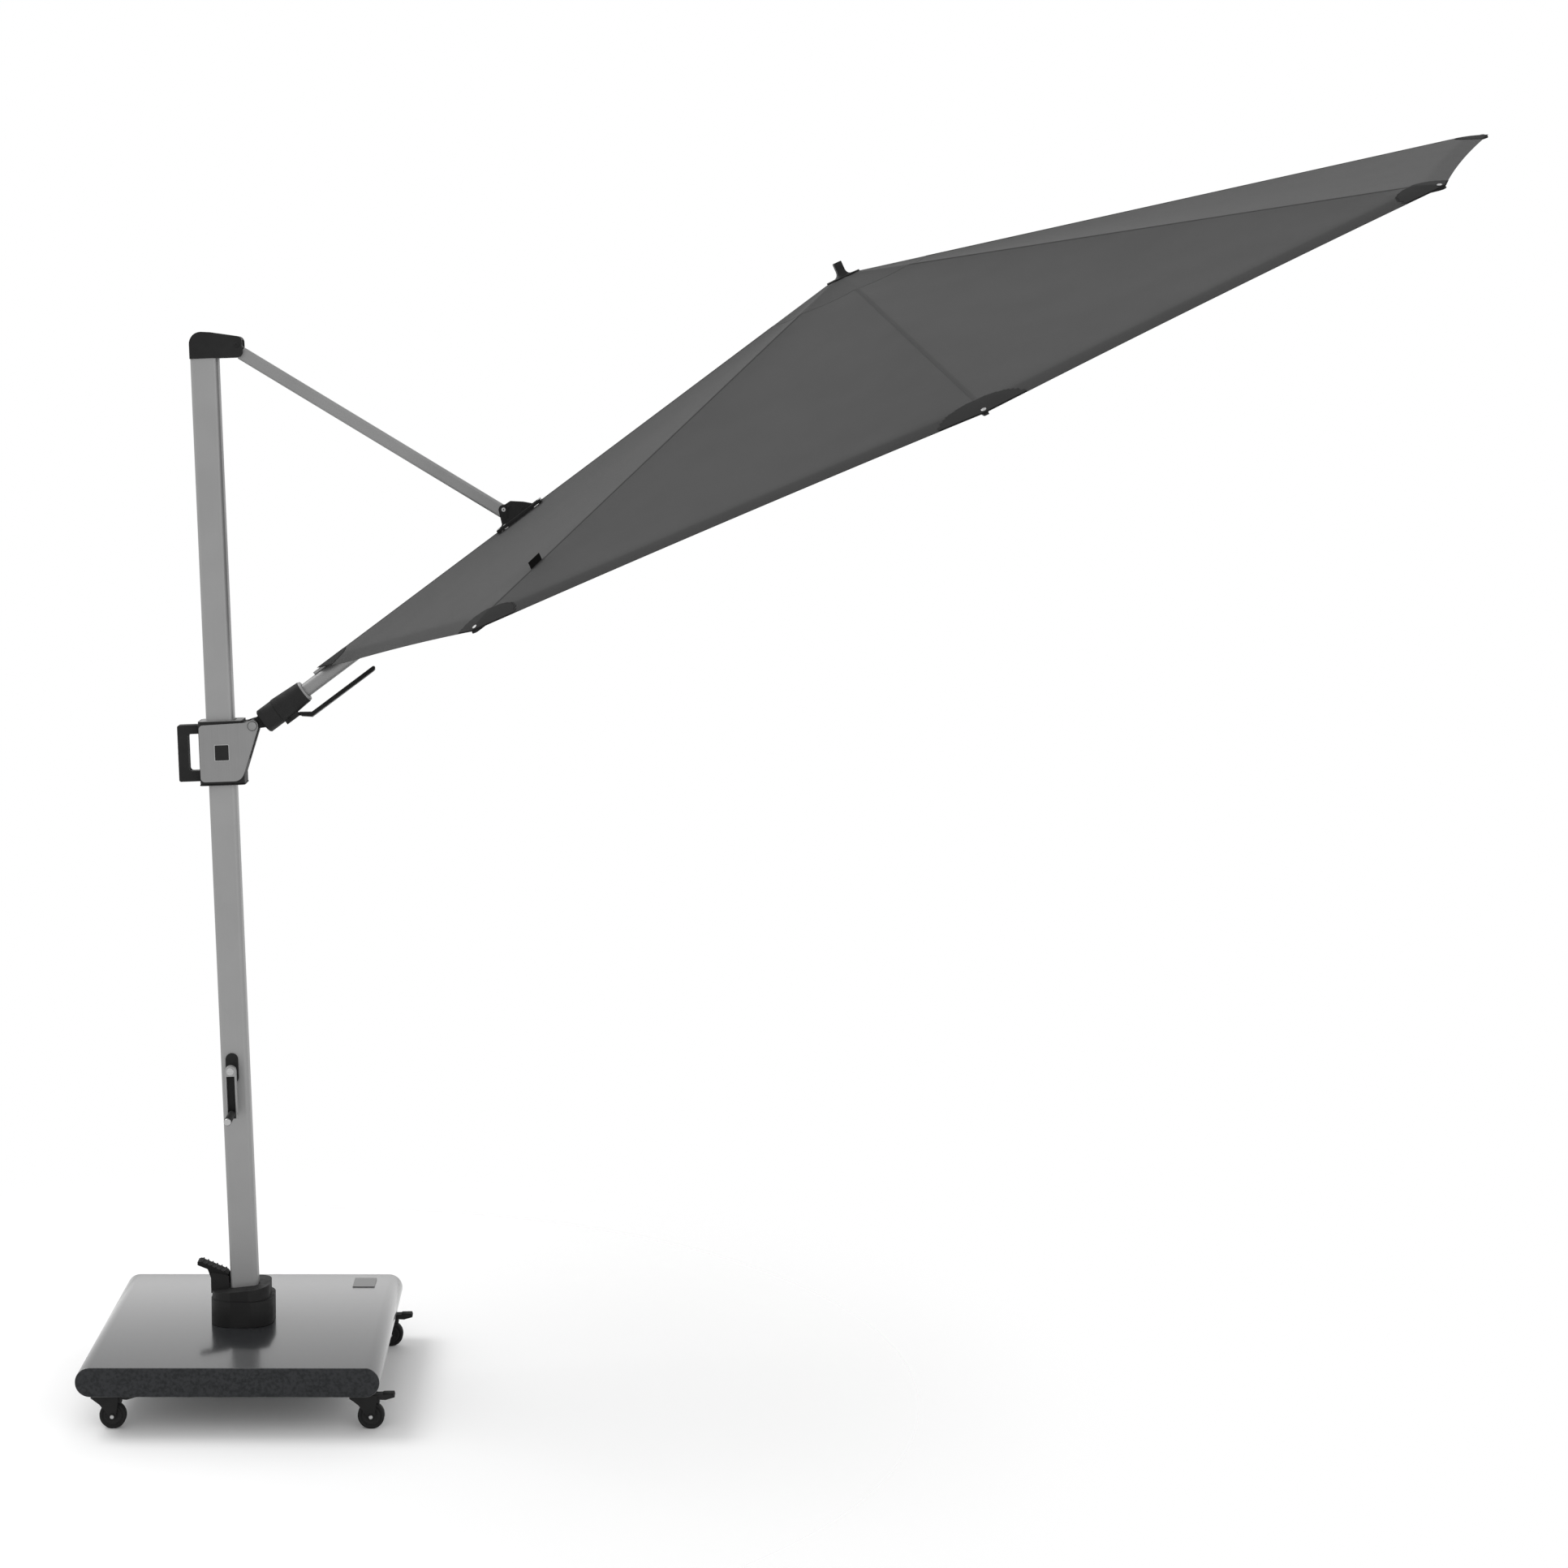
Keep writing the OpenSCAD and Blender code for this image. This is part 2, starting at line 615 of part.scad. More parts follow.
// ---- canopy ----
hub_r = 57;
hub_top = -15.5;
slot_r = 33;
plate_r = 47;
plate_z = -8;
module hub_pins() {
  for (az = [0:45:315]) rotate([0, 0, az]) translate([root_r, 0, 0]) bar_y(pin_r, 26);
}
module hub() {
  color(black) on_hub() {
    difference() {
      translate([0, 0, -38]) cylinder(r = hub_r, h = 38 + hub_top);
      for (az = [0:45:315]) rotate([0, 0, az]) translate([slot_r, -6.5, -40]) cube([30, 13, 30]);
    }
    translate([0, 0, root_z]) hub_pins();
    translate([0, 0, hub_top - 1]) cylinder(r = 10, h = plate_z - hub_top + 1);
  }
}
// cap over the hub with an upright post
module finial() {
  color(black) on_hub() translate([0, 0, plate_z]) {
    cylinder(r = plate_r, h = 5, $fn = 96);
    translate([-11.5, -23, 4]) cube([23, 46, 42]);
    translate([-15, -27, 4]) cube([30, 54, 6]);
  }
}
sheet_t = 1.6;
apex_hole = 52;
function ridge_ring(r, drop) =
  [for (i = [0:7]) [r * cos(45 * i), r * sin(45 * i), -r * tan(rib_slope) - drop]];
module canopy() {
  tip_r = rib_length * cos(rib_slope);
  points = concat(ridge_ring(apex_hole, 0), ridge_ring(tip_r, 0),
    ridge_ring(tip_r, sheet_t), ridge_ring(apex_hole, sheet_t));
  color(fabric) difference() {
    on_hub() polyhedron(points = points, faces = [for (k = [0:3], i = [0:7])
      let(j = (i + 1) % 8, m = (k + 1) % 4) [8 * k + i, 8 * m + i, 8 * m + j, 8 * k + j]]);
    on_roll() translate([rim_outer[0] + rim_frame, -rim_half + 11, 0])
      cube([rim_outer[1] - rim_outer[0] - 2 * rim_frame, 2 * rim_half - 22, 60]);
  }
}
module rib(n) {
  color(silver) on_rib(rib_azimuths[n - 1]) difference() {
    union() {
      translate([4, -6, -9]) cube([rib_reach - 4, 12, 17]);
      bar_y(8, 12);
      translate([stretcher_at - 14, -2, -stretcher_drop - 6]) cube([28, 4, 14]);
    }
    bar_y(bore_r, 40);
    bar_y_at(stretcher_at, -stretcher_drop, bore_r, 40);
    translate([20, -4.5, -7.5]) cube([rib_reach - 40, 9, 14]);
  }
}
module stretcher(n) {
  color(silver) on_stretcher(rib_azimuths[n - 1]) difference() {
    union() {
      translate([0, -5, -5]) cube([stretcher_length, 10, 10]);
      bar_y(6, 10);
      translate([stretcher_length, 0, 0]) bar_y(7, 10);
      bar_y(pin_r, 0.1);
    }
    translate([stretcher_length, 0, 0]) bar_y(bore_r, 40);
    difference() {
      translate([-20, -2.5, -20]) cube([38, 5, 40]);
      bar_y(pin_r, 6);
    }
    translate([30, -3.5, -3.5]) cube([stretcher_length - 60, 7, 7]);
  }
}
module runner() {
  color(black) on_hub() translate([0, 0, runner_z]) {
    difference() {
      translate([0, 0, -12]) cylinder(r = hub_r, h = 24);
      translate([0, 0, -13]) cylinder(r = 22, h = 26);
      for (az = rib_azimuths) rotate([0, 0, az]) translate([slot_r, -5.5, -13]) cube([30, 11, 26]);
    }
    for (az = rib_azimuths) rotate([0, 0, az]) translate([root_r, 0, 0]) bar_y(pin_r, 17);
  }
}

granite_slab();
base_badge();
base_flange();
castor_plates();
castor_fork(1);  // castor_fork_1
castor_fork(2);  // castor_fork_2
castor_fork(3);  // castor_fork_3
castor_fork(4);  // castor_fork_4
castor_wheel(1);  // castor_wheel_1
castor_wheel(2);  // castor_wheel_2
castor_wheel(3);  // castor_wheel_3
castor_wheel(4);  // castor_wheel_4
castor_brake(1);  // castor_brake_1
castor_brake(2);  // castor_brake_2
castor_brake(3);  // castor_brake_3
castor_brake(4);  // castor_brake_4
mast_foot();
socket_cover();
foot_pedal();
mast_tube();
mast_head();
strut_pin();
crank_escutcheon();
crank_shaft();
crank_arm();
crank_grip();
slider_core();
slider_covers();
slider_handle();
slider_pin();
release_trigger();
arm_knuckle();
bracket();
bracket_pin();
strut_tube();
strut_ends();
boom_tube();
boom_end();
boom_rail();
roll_collar();
tilt_lever();
rim_plate();
hub();
finial();
canopy();
runner();
rib(1);  // rib_1
rib(2);  // rib_2
rib(3);  // rib_3
rib(4);  // rib_4
rib(5);  // rib_5
rib(6);  // rib_6
rib(7);  // rib_7
stretcher(1);  // stretcher_1
stretcher(2);  // stretcher_2
stretcher(3);  // stretcher_3
stretcher(4);  // stretcher_4
stretcher(5);  // stretcher_5
stretcher(6);  // stretcher_6
stretcher(7);  // stretcher_7
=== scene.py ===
"""Looks of a free-arm garden parasol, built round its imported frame."""
import math

import bmesh
import bpy
from mathutils import Matrix, Vector


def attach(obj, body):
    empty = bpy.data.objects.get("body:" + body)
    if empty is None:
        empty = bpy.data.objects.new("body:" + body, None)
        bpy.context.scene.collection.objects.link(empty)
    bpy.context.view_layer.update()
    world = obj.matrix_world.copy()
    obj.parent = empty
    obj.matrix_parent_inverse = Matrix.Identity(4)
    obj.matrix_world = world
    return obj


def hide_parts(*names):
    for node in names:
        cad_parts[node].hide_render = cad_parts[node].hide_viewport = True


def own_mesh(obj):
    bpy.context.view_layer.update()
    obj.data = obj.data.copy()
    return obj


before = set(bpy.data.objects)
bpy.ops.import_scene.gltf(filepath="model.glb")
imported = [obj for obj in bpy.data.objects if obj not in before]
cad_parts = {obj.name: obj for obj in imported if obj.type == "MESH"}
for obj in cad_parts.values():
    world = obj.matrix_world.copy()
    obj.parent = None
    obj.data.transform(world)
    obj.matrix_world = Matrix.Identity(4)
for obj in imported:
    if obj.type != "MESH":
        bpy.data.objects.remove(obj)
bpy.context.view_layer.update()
MM = 0.001


# ---- frames, as in the part ----
def turn(axis, degrees):
    return Matrix.Rotation(math.radians(degrees), 4, axis)


def shift(x, y, z):
    return Matrix.Translation((x * MM, y * MM, z * MM))


SLAB_TOP = 183
# pivots in the mast's frame: distance in front of its axis (B) and height (A)
HINGE_B, HEAD_A, SLIDER_A, BRACKET_B = 90, 2640, 1623.6, 786
BRACKET_A = (HEAD_A + SLIDER_A) / 2
# the boom's frame: U along its axis from below the bracket's pin, W square to it and up
BOOM_ANGLE, BRACKET_W, BOOM_ROLL = 34.8, 29.9, 0.9
APEX_U, APEX_W, RIB_SLOPE, RIB_LENGTH = 1118, 29.6, 12.2, 1750
MAST_LEAN = 2
BOOM_X = BRACKET_B + BRACKET_W * math.sin(math.radians(BOOM_ANGLE))
BOOM_Z = BRACKET_A - BRACKET_W * math.cos(math.radians(BOOM_ANGLE))
STRUT_LENGTH = math.hypot(BRACKET_B - HINGE_B, HEAD_A - BRACKET_A)
STRUT_ANGLE = math.degrees(math.atan2(HEAD_A - BRACKET_A, BRACKET_B - HINGE_B))
MAST = shift(0, 0, SLAB_TOP) @ turn("Y", -MAST_LEAN)
BOOM = MAST @ shift(BOOM_X, 0, BOOM_Z) @ turn("Y", -BOOM_ANGLE)
ROLL = BOOM @ turn("X", BOOM_ROLL)
HUB = ROLL @ shift(APEX_U, 0, APEX_W) @ turn("Y", RIB_SLOPE)
STRUT = MAST @ shift(HINGE_B, 0, HEAD_A) @ turn("Y", STRUT_ANGLE)
SPLIT_U = -861.56 + 73      # joint between the arm's and the boom's collar
CRANK = MAST @ shift(-6, 0, 697)
# each ridge's azimuth round the hub and the rib below it; the boom lies below the eighth
RIB_OF = {0: "rib_1", 45: "rib_2", 90: "rib_3", 135: "rib_4", 225: "rib_5", 270: "rib_6",
          315: "rib_7"}
BOOM_AZIMUTH = 180
AZIMUTHS = sorted([*RIB_OF, BOOM_AZIMUTH])
FACE_FRONT = turn("X", 90)   # local Z points towards -Y
FACE_BACK = turn("X", -90)   # local Z points towards +Y
SIDES = ((-1, FACE_FRONT, "front"), (1, FACE_BACK, "back"))


# ---- materials ----
STREAK_SHARE = 0.35     # part of the brushed lines in a metal's tone; soft clouds make the rest
SLUB_SHARE = 0.6        # part of the uneven yarn in the cloth's tone
WAVES_PER_UNIT = 0.314  # scale of a wave texture whose bands are one unit apart
THREAD = 0.0011         # metres between the cloth's threads


def new_material(name):
    material = bpy.data.materials.new(name)
    material.use_nodes = True
    nodes = material.node_tree.nodes
    return material, nodes, material.node_tree.links, nodes["Principled BSDF"]


def noise(nodes, links, scale, detail=4, stretch=(1, 1, 1), rotation=0):
    """Noise in the object's coordinates, finer along an axis by its factor in stretch; the
    axes are first tilted so that X points `rotation` degrees upwards."""
    coords = nodes.new("ShaderNodeTexCoord")
    mapping = nodes.new("ShaderNodeMapping")
    mapping.vector_type = "TEXTURE"
    mapping.inputs["Scale"].default_value = [1 / factor for factor in stretch]
    mapping.inputs["Rotation"].default_value = (0, -math.radians(rotation), 0)
    texture = nodes.new("ShaderNodeTexNoise")
    texture.inputs["Scale"].default_value = scale
    texture.inputs["Detail"].default_value = detail
    links.new(coords.outputs["Object"], mapping.inputs["Vector"])
    links.new(mapping.outputs["Vector"], texture.inputs["Vector"])
    return texture.outputs["Fac"]


def ramp(nodes, links, value, stops):
    """Colour from (place, grey or colour) stops."""
    node = nodes.new("ShaderNodeValToRGB")
    elements = node.color_ramp.elements
    while len(elements) < len(stops):
        elements.new(0.5)
    for element, (place, grey) in zip(elements, stops):
        element.position = place
        element.color = (*grey, 1) if isinstance(grey, tuple) else (grey, grey, grey, 1)
    links.new(value, node.inputs["Fac"])
    return node.outputs["Color"]


def spread(nodes, links, value, low, high):
    """Stretches a noise's usual span, 0.3 to 0.7, to low and high."""
    node = nodes.new("ShaderNodeMapRange")
    node.inputs["From Min"].default_value = 0.3
    node.inputs["From Max"].default_value = 0.7
    node.inputs["To Min"].default_value = low
    node.inputs["To Max"].default_value = high
    links.new(value, node.inputs["Value"])
    return node.outputs["Result"]


def bump(nodes, links, shader, height, strength, distance):
    node = nodes.new("ShaderNodeBump")
    node.inputs["Strength"].default_value = strength
    node.inputs["Distance"].default_value = distance
    links.new(height, node.inputs["Height"])
    links.new(node.outputs["Normal"], shader.inputs["Normal"])


def plastic(name, dark, light, rough=(0.42, 0.56), grain=1400, relief=0.25):
    material, nodes, links, shader = new_material(name)
    tone = noise(nodes, links, 14)
    links.new(ramp(nodes, links, tone, [(0.3, dark), (0.7, light)]), shader.inputs["Base Color"])
    links.new(spread(nodes, links, noise(nodes, links, 60), *rough), shader.inputs["Roughness"])
    shader.inputs["Specular IOR Level"].default_value = 0.2
    bump(nodes, links, shader, noise(nodes, links, grain, 2), relief, 0.0002)
    return material


def metal(name, dark, light, rough=(0.42, 0.54), along=0, streak=900, metallic=0.6):
    """Anodised or brushed metal, its streaks along the direction `along` degrees above X."""
    material, nodes, links, shader = new_material(name)
    shader.inputs["Metallic"].default_value = metallic
    lines = noise(nodes, links, streak, 3, (0.004, 1, 1), along)
    tone = noise(nodes, links, 5, 3)
    mix = nodes.new("ShaderNodeMath")
    mix.operation = "MULTIPLY_ADD"
    mix.inputs[1].default_value = STREAK_SHARE
    links.new(lines, mix.inputs[0])
    scaled = nodes.new("ShaderNodeMath")
    scaled.operation = "MULTIPLY"
    scaled.inputs[1].default_value = 1 - STREAK_SHARE
    links.new(tone, scaled.inputs[0])
    links.new(scaled.outputs[0], mix.inputs[2])
    colour = ramp(nodes, links, mix.outputs[0], [(0.32, dark), (0.68, light)])
    links.new(colour, shader.inputs["Base Color"])
    links.new(spread(nodes, links, lines, *rough), shader.inputs["Roughness"])
    bump(nodes, links, shader, lines, 0.08, 0.0001)
    return material


def stone(name, rough, coat, flakes=0.10):
    """Fine-grained black granite with small grey flakes."""
    material, nodes, links, shader = new_material(name)
    speck = noise(nodes, links, 420, 5)
    cloud = noise(nodes, links, 120, 3)
    grain = nodes.new("ShaderNodeMix")
    grain.data_type = "RGBA"
    grain.blend_type = "ADD"
    grain.inputs["Factor"].default_value = 1
    base = ramp(nodes, links, cloud,
                [(0.35, (0.012, 0.013, 0.014)), (0.6, (0.024, 0.025, 0.027))])
    spots = ramp(nodes, links, speck, [(0.60, 0.0), (0.66, 0.3 * flakes), (0.78, flakes)])
    links.new(base, grain.inputs["A"])
    links.new(spots, grain.inputs["B"])
    links.new(grain.outputs["Result"], shader.inputs["Base Color"])
    links.new(spread(nodes, links, speck, *rough), shader.inputs["Roughness"])
    if coat:
        shader.inputs["IOR"].default_value = 1.75
        shader.inputs["Coat Weight"].default_value = coat
        shader.inputs["Coat Roughness"].default_value = 0.12
    else:
        shader.inputs["Specular IOR Level"].default_value = 0.2
    return material


def woven(name, dark, light, hem_and_shade=None, hem_and_shade_tone=0.66, sheen=0.1):
    """Plain weave of polyester, its threads along the panel's own length and width; an optional
    pair of distances in metres from the apex gives where the cloth darkens towards its rim, partly
    for the doubled hem and partly as painted shade of the turned-down rim."""
    material, nodes, links, shader = new_material(name)
    coords = nodes.new("ShaderNodeUVMap")
    coords.uv_map = "cloth"
    waves = []
    for direction in ("X", "Y"):
        wave = nodes.new("ShaderNodeTexWave")
        wave.bands_direction = direction
        wave.inputs["Scale"].default_value = WAVES_PER_UNIT / THREAD
        wave.inputs["Distortion"].default_value = 0.6
        wave.inputs["Detail Scale"].default_value = 2
        links.new(coords.outputs["UV"], wave.inputs["Vector"])
        waves.append(wave.outputs["Fac"])
    weave = nodes.new("ShaderNodeMath")
    weave.operation = "MAXIMUM"
    links.new(waves[0], weave.inputs[0])
    links.new(waves[1], weave.inputs[1])
    slub = noise(nodes, links, 900, 3)
    cloud = noise(nodes, links, 7, 3)
    total = nodes.new("ShaderNodeMath")
    total.operation = "MULTIPLY_ADD"
    total.inputs[1].default_value = SLUB_SHARE
    links.new(slub, total.inputs[0])
    part = nodes.new("ShaderNodeMath")
    part.operation = "MULTIPLY"
    part.inputs[1].default_value = 1 - SLUB_SHARE
    links.new(cloud, part.inputs[0])
    links.new(part.outputs[0], total.inputs[2])
    colour = ramp(nodes, links, total.outputs[0], [(0.3, dark), (0.7, light)])
    # darkening towards the rim: the doubled hem and painted shade of the turned-down rim
    if hem_and_shade:
        split = nodes.new("ShaderNodeSeparateXYZ")
        edge = nodes.new("ShaderNodeMapRange")
        edge.interpolation_type = "SMOOTHSTEP"
        edge.inputs["From Min"].default_value, edge.inputs["From Max"].default_value = hem_and_shade
        edge.inputs["To Min"].default_value = 1
        edge.inputs["To Max"].default_value = hem_and_shade_tone
        shade = nodes.new("ShaderNodeVectorMath")
        shade.operation = "SCALE"
        links.new(coords.outputs["UV"], split.inputs[0])
        links.new(split.outputs["Y"], edge.inputs["Value"])
        links.new(colour, shade.inputs[0])
        links.new(edge.outputs["Result"], shade.inputs["Scale"])
        colour = shade.outputs["Vector"]
    links.new(colour, shader.inputs["Base Color"])
    links.new(spread(nodes, links, slub, 0.82, 0.95), shader.inputs["Roughness"])
    shader.inputs["Specular IOR Level"].default_value = 0.1
    shader.inputs["Sheen Weight"].default_value = sheen
    shader.inputs["Sheen Roughness"].default_value = 0.4
    bump(nodes, links, shader, weave.outputs[0], 0.5, 0.00015)
    return material


POLISHED = stone("polished_granite", (0.16, 0.24), 0.6)
HONED = stone("honed_granite", (0.6, 0.8), 0, 0.02)
# the mast, boom and strut share one anodised finish: their different tones are painted light and
# shade, each standing in for the light that part gets
SILVER_MAST = metal("anodised_mast", 0.265, 0.305, along=92)
SILVER_BOOM = metal("anodised_boom", 0.22, 0.26, along=36.8)
SILVER_STRUT = metal("anodised_strut", 0.23, 0.28, along=-31)
SILVER_PLATE = metal("brushed_plate", 0.20, 0.25, along=92, rough=(0.38, 0.48))
SILVER_RIB = metal("anodised_rib", 0.30, 0.36, streak=500)
ZINC = metal("zinc_plated_steel", 0.36, 0.48, rough=(0.25, 0.4))
BLACK = plastic("black_plastic", 0.009, 0.013, rough=(0.5, 0.65))
SOFT_BLACK = plastic("soft_black_grip", 0.006, 0.009, rough=(0.65, 0.8), grain=700, relief=0.5)
COATED = plastic("black_powder_coat", 0.007, 0.011, rough=(0.5, 0.62), grain=2600, relief=0.35)
GASKET = plastic("black_rubber", 0.003, 0.005, rough=(0.7, 0.85))
TYRE = plastic("grey_tyre", 0.009, 0.013, rough=(0.65, 0.8), grain=500)
GUIDE = plastic("grey_guide", 0.16, 0.22, rough=(0.4, 0.5))
# the dark band at the rim of the cloth, tape and pockets is partly the doubled hem and partly
# painted shade of the turned-down rim
CLOTH = woven("woven_polyester", 0.033, 0.044, hem_and_shade=(1.682, 1.706))
PATCH_CLOTH = woven("woven_patch", 0.030, 0.041)
# the seam tape's darker tone is partly its own cloth and partly painted shade along the ridges
SHADED_SEAM_CLOTH = woven("woven_seam_painted_shade", 0.024, 0.033, hem_and_shade=(1.682, 1.706))
POCKET_CLOTH = woven("woven_pocket", 0.018, 0.025, hem_and_shade=(1.746, 1.7475), hem_and_shade_tone=0.15,
                     sheen=0)
LABEL = woven("woven_label", 0.003, 0.005, sheen=0)

NODE_MATERIALS = {
    "base_badge": SILVER_PLATE, "base_flange": ZINC, "castor_plates": COATED,
    "mast_foot": BLACK, "socket_cover": BLACK, "foot_pedal": SOFT_BLACK,
    "mast_tube": SILVER_MAST, "mast_head": BLACK, "strut_pin": ZINC,
    "crank_escutcheon": BLACK, "crank_shaft": ZINC,
    "crank_arm": SILVER_MAST, "crank_grip": SOFT_BLACK, "slider_core": BLACK,
    "slider_covers": SILVER_PLATE, "slider_handle": BLACK, "slider_pin": SILVER_PLATE,
    "release_trigger": SOFT_BLACK, "arm_knuckle": BLACK, "bracket": COATED, "bracket_pin": ZINC,
    "strut_tube": SILVER_STRUT, "strut_ends": COATED, "boom_tube": SILVER_BOOM, "boom_end": BLACK,
    "boom_rail": SILVER_BOOM, "roll_collar": BLACK, "tilt_lever": SOFT_BLACK,
    "rim_plate": SILVER_BOOM, "hub": BLACK, "runner": BLACK,
}
for name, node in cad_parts.items():
    if name.startswith("castor_fork"):
        material = COATED
    elif name.startswith("castor_wheel"):
        material = TYRE
    elif name.startswith(("rib_", "stretcher_")):
        material = SILVER_RIB
    else:
        material = NODE_MATERIALS.get(name, BLACK)
    if node.material_slots:
        for slot in node.material_slots:
            slot.material = material
    else:
        node.data.materials.append(material)

BEVELS = {
    "mast_head": 4.0, "slider_covers": 1.0, "slider_core": 2.0,
    "slider_handle": 3.0, "tilt_lever": 2.0, "bracket": 1.0, "strut_ends": 1.5, "foot_pedal": 1.5,
    "socket_cover": 2.0, "crank_arm": 1.2, "crank_grip": 1.5, "crank_escutcheon": 1.0,
    "roll_collar": 1.2, "arm_knuckle": 1.0, "base_badge": 0.4, "slider_pin": 0.6, "rim_plate": 0.6,
    "boom_rail": 0.8, "release_trigger": 2.0, "hub": 1.5, "runner": 1.5,
}
CASTOR_BEVEL = 0.8
for name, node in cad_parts.items():
    width = BEVELS.get(name, CASTOR_BEVEL if name.startswith("castor") else 0)
    if not width:
        continue
    weld = node.modifiers.new("weld", "WELD")
    weld.merge_threshold = 0.00002
    bevel = node.modifiers.new("bevel", "BEVEL")
    bevel.width = width * MM
    bevel.segments = 3
    bevel.limit_method = "ANGLE"
    bevel.angle_limit = math.radians(32)
    bevel.harden_normals = True


def paint_faces(name, material, place, test):
    """Gives another material to the faces of a node for which test(centre, normal) holds,
    both taken in the frame `place`."""
    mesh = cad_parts[name].data
    mesh.materials.append(material)
    back = place.inverted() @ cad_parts[name].matrix_world
    for face in mesh.polygons:
        if test(back @ face.center / MM, (back.to_3x3() @ face.normal).normalized()):
            face.material_index = len(mesh.materials) - 1


paint_faces("rim_plate", BLACK, ROLL, lambda c, n: abs(c.y) > 40 and -18 < c.x < 110)
for azimuth, rib in RIB_OF.items():
    paint_faces(rib, BLACK, HUB @ turn("Z", azimuth) @ turn("Y", RIB_SLOPE),
                lambda c, n: n.z > 0.9)
# the floor of the arm's channel, which the folded grip covers, painted black as painted shade of
# the deep recess
paint_faces("crank_arm", BLACK, CRANK,
            lambda c, n: n.y < -0.9 and abs(c.x) < 11.2 and c.z < -12 and c.y > -70)


# ---- pieces ----
def make_object(name, bm, material, place=None):
    """Object from a bmesh in metres of the frame `place`, or of the world without one."""
    mesh = bpy.data.meshes.new(name)
    bm.to_mesh(mesh)
    bm.free()
    if place is not None:
        mesh.transform(place)
    mesh.materials.append(material)
    piece = bpy.data.objects.new(name, mesh)
    bpy.context.scene.collection.objects.link(piece)
    return piece


def smooth(piece, angle):
    piece.data.polygons.foreach_set("use_smooth", [True] * len(piece.data.polygons))
    piece.data.set_sharp_from_angle(angle=math.radians(angle))


def recalc(bm):
    bmesh.ops.recalc_face_normals(bm, faces=bm.faces)


def lathe(profile, segments=48):
    """Closed turned shape about local Z from [radius, z] points that begin and end on the axis."""
    bm = bmesh.new()
    rings = []
    for radius, z in profile:
        if radius < 1e-6:
            rings.append([bm.verts.new((0, 0, z * MM))])
        else:
            rings.append([bm.verts.new((radius * MM * math.cos(2 * math.pi * k / segments),
                                        radius * MM * math.sin(2 * math.pi * k / segments), z * MM))
                          for k in range(segments)])
    for low, high in zip(rings, rings[1:]):
        for k in range(segments):
            n = (k + 1) % segments
            corners = [low[k % len(low)], low[n % len(low)],
                       high[n % len(high)], high[k % len(high)]]
            corners = [c for i, c in enumerate(corners) if c not in corners[:i]]
            if len(corners) > 2:
                bm.faces.new(corners)
    recalc(bm)
    return bm


def loft(rings, endless=False):
    """Closed shape through rings of points in millimetres. It's capped at both ends, or
    endless: the last ring joins the first."""
    bm = bmesh.new()
    rows = [[bm.verts.new([c * MM for c in p]) for p in ring] for ring in rings]
    count = len(rings[0])
    for low, high in zip(rows, rows[1:] + rows[:1] if endless else rows[1:]):
        for k in range(count):
            n = (k + 1) % count
            bm.faces.new([low[k], low[n], high[n], high[k]])
    if not endless:
        bm.faces.new(rows[0][::-1])
        bm.faces.new(rows[-1])
    recalc(bm)
    return bm


def tube_ring(profile, segments=64):
    """Closed ring turned about local Z from a closed [radius, z] outline."""
    angles = [2 * math.pi * k / segments for k in range(segments)]
    return loft([[(radius * math.cos(a), radius * math.sin(a), z) for a in angles]
                 for radius, z in profile], endless=True)


def rounded_ring(width, depth, radius, z, steps=5):
    """Outline of a rectangle with rounded corners, level at z."""
    points = []
    for cx, cy, start in ((1, 1, 0), (-1, 1, 90), (-1, -1, 180), (1, -1, 270)):
        for k in range(steps + 1):
            a = math.radians(start + 90 * k / steps)
            points.append((cx * (width / 2 - radius) + radius * math.cos(a),
                           cy * (depth / 2 - radius) + radius * math.sin(a), z))
    return points


def pillow(width, depth, height, radius, edge):
    """Rounded plate with a soft upper edge, its underside at z 0."""
    shoulder = height - edge
    rings = [rounded_ring(width, depth, radius, z) for z in (0, shoulder)]
    for k in range(1, 4):
        a = math.radians(30 * k)
        inset = edge * (1 - math.cos(a))
        rings.append(rounded_ring(width - 2 * inset, depth - 2 * inset, max(radius - inset, 0.3),
                                  shoulder + edge * math.sin(a)))
    return loft(rings)


def add(name, bm, material, body, place, angle=32):
    """Piece that rides on a body, with edges sharper than angle kept crisp."""
    piece = make_object(name, bm, material, place)
    smooth(piece, angle)
    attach(piece, body)
    return piece


# ---- canopy ----
ALPHA = math.radians(RIB_SLOPE)
HALF_PANEL = math.radians(22.5)
SAG, SCALLOP = 9, 14            # of a panel's middle line, downwards and inwards
DROOP, DROOP_FROM = 9, 94       # the rim turns down by this, over this width
GORE_FROM = 46                  # radius of the opening at the apex
BEND_FROM = RIB_LENGTH - DROOP_FROM     # where that width starts, along a ridge
BOOM_STIFF = 0.35               # the rim turns down less than this near to the boom, in q
CREASE = 40                     # degrees above which an edge of the cloth stays sharp


def ridge_direction(azimuth):
    a = math.radians(azimuth)
    return Vector((math.cos(ALPHA) * math.cos(a), math.cos(ALPHA) * math.sin(a), -math.sin(ALPHA)))


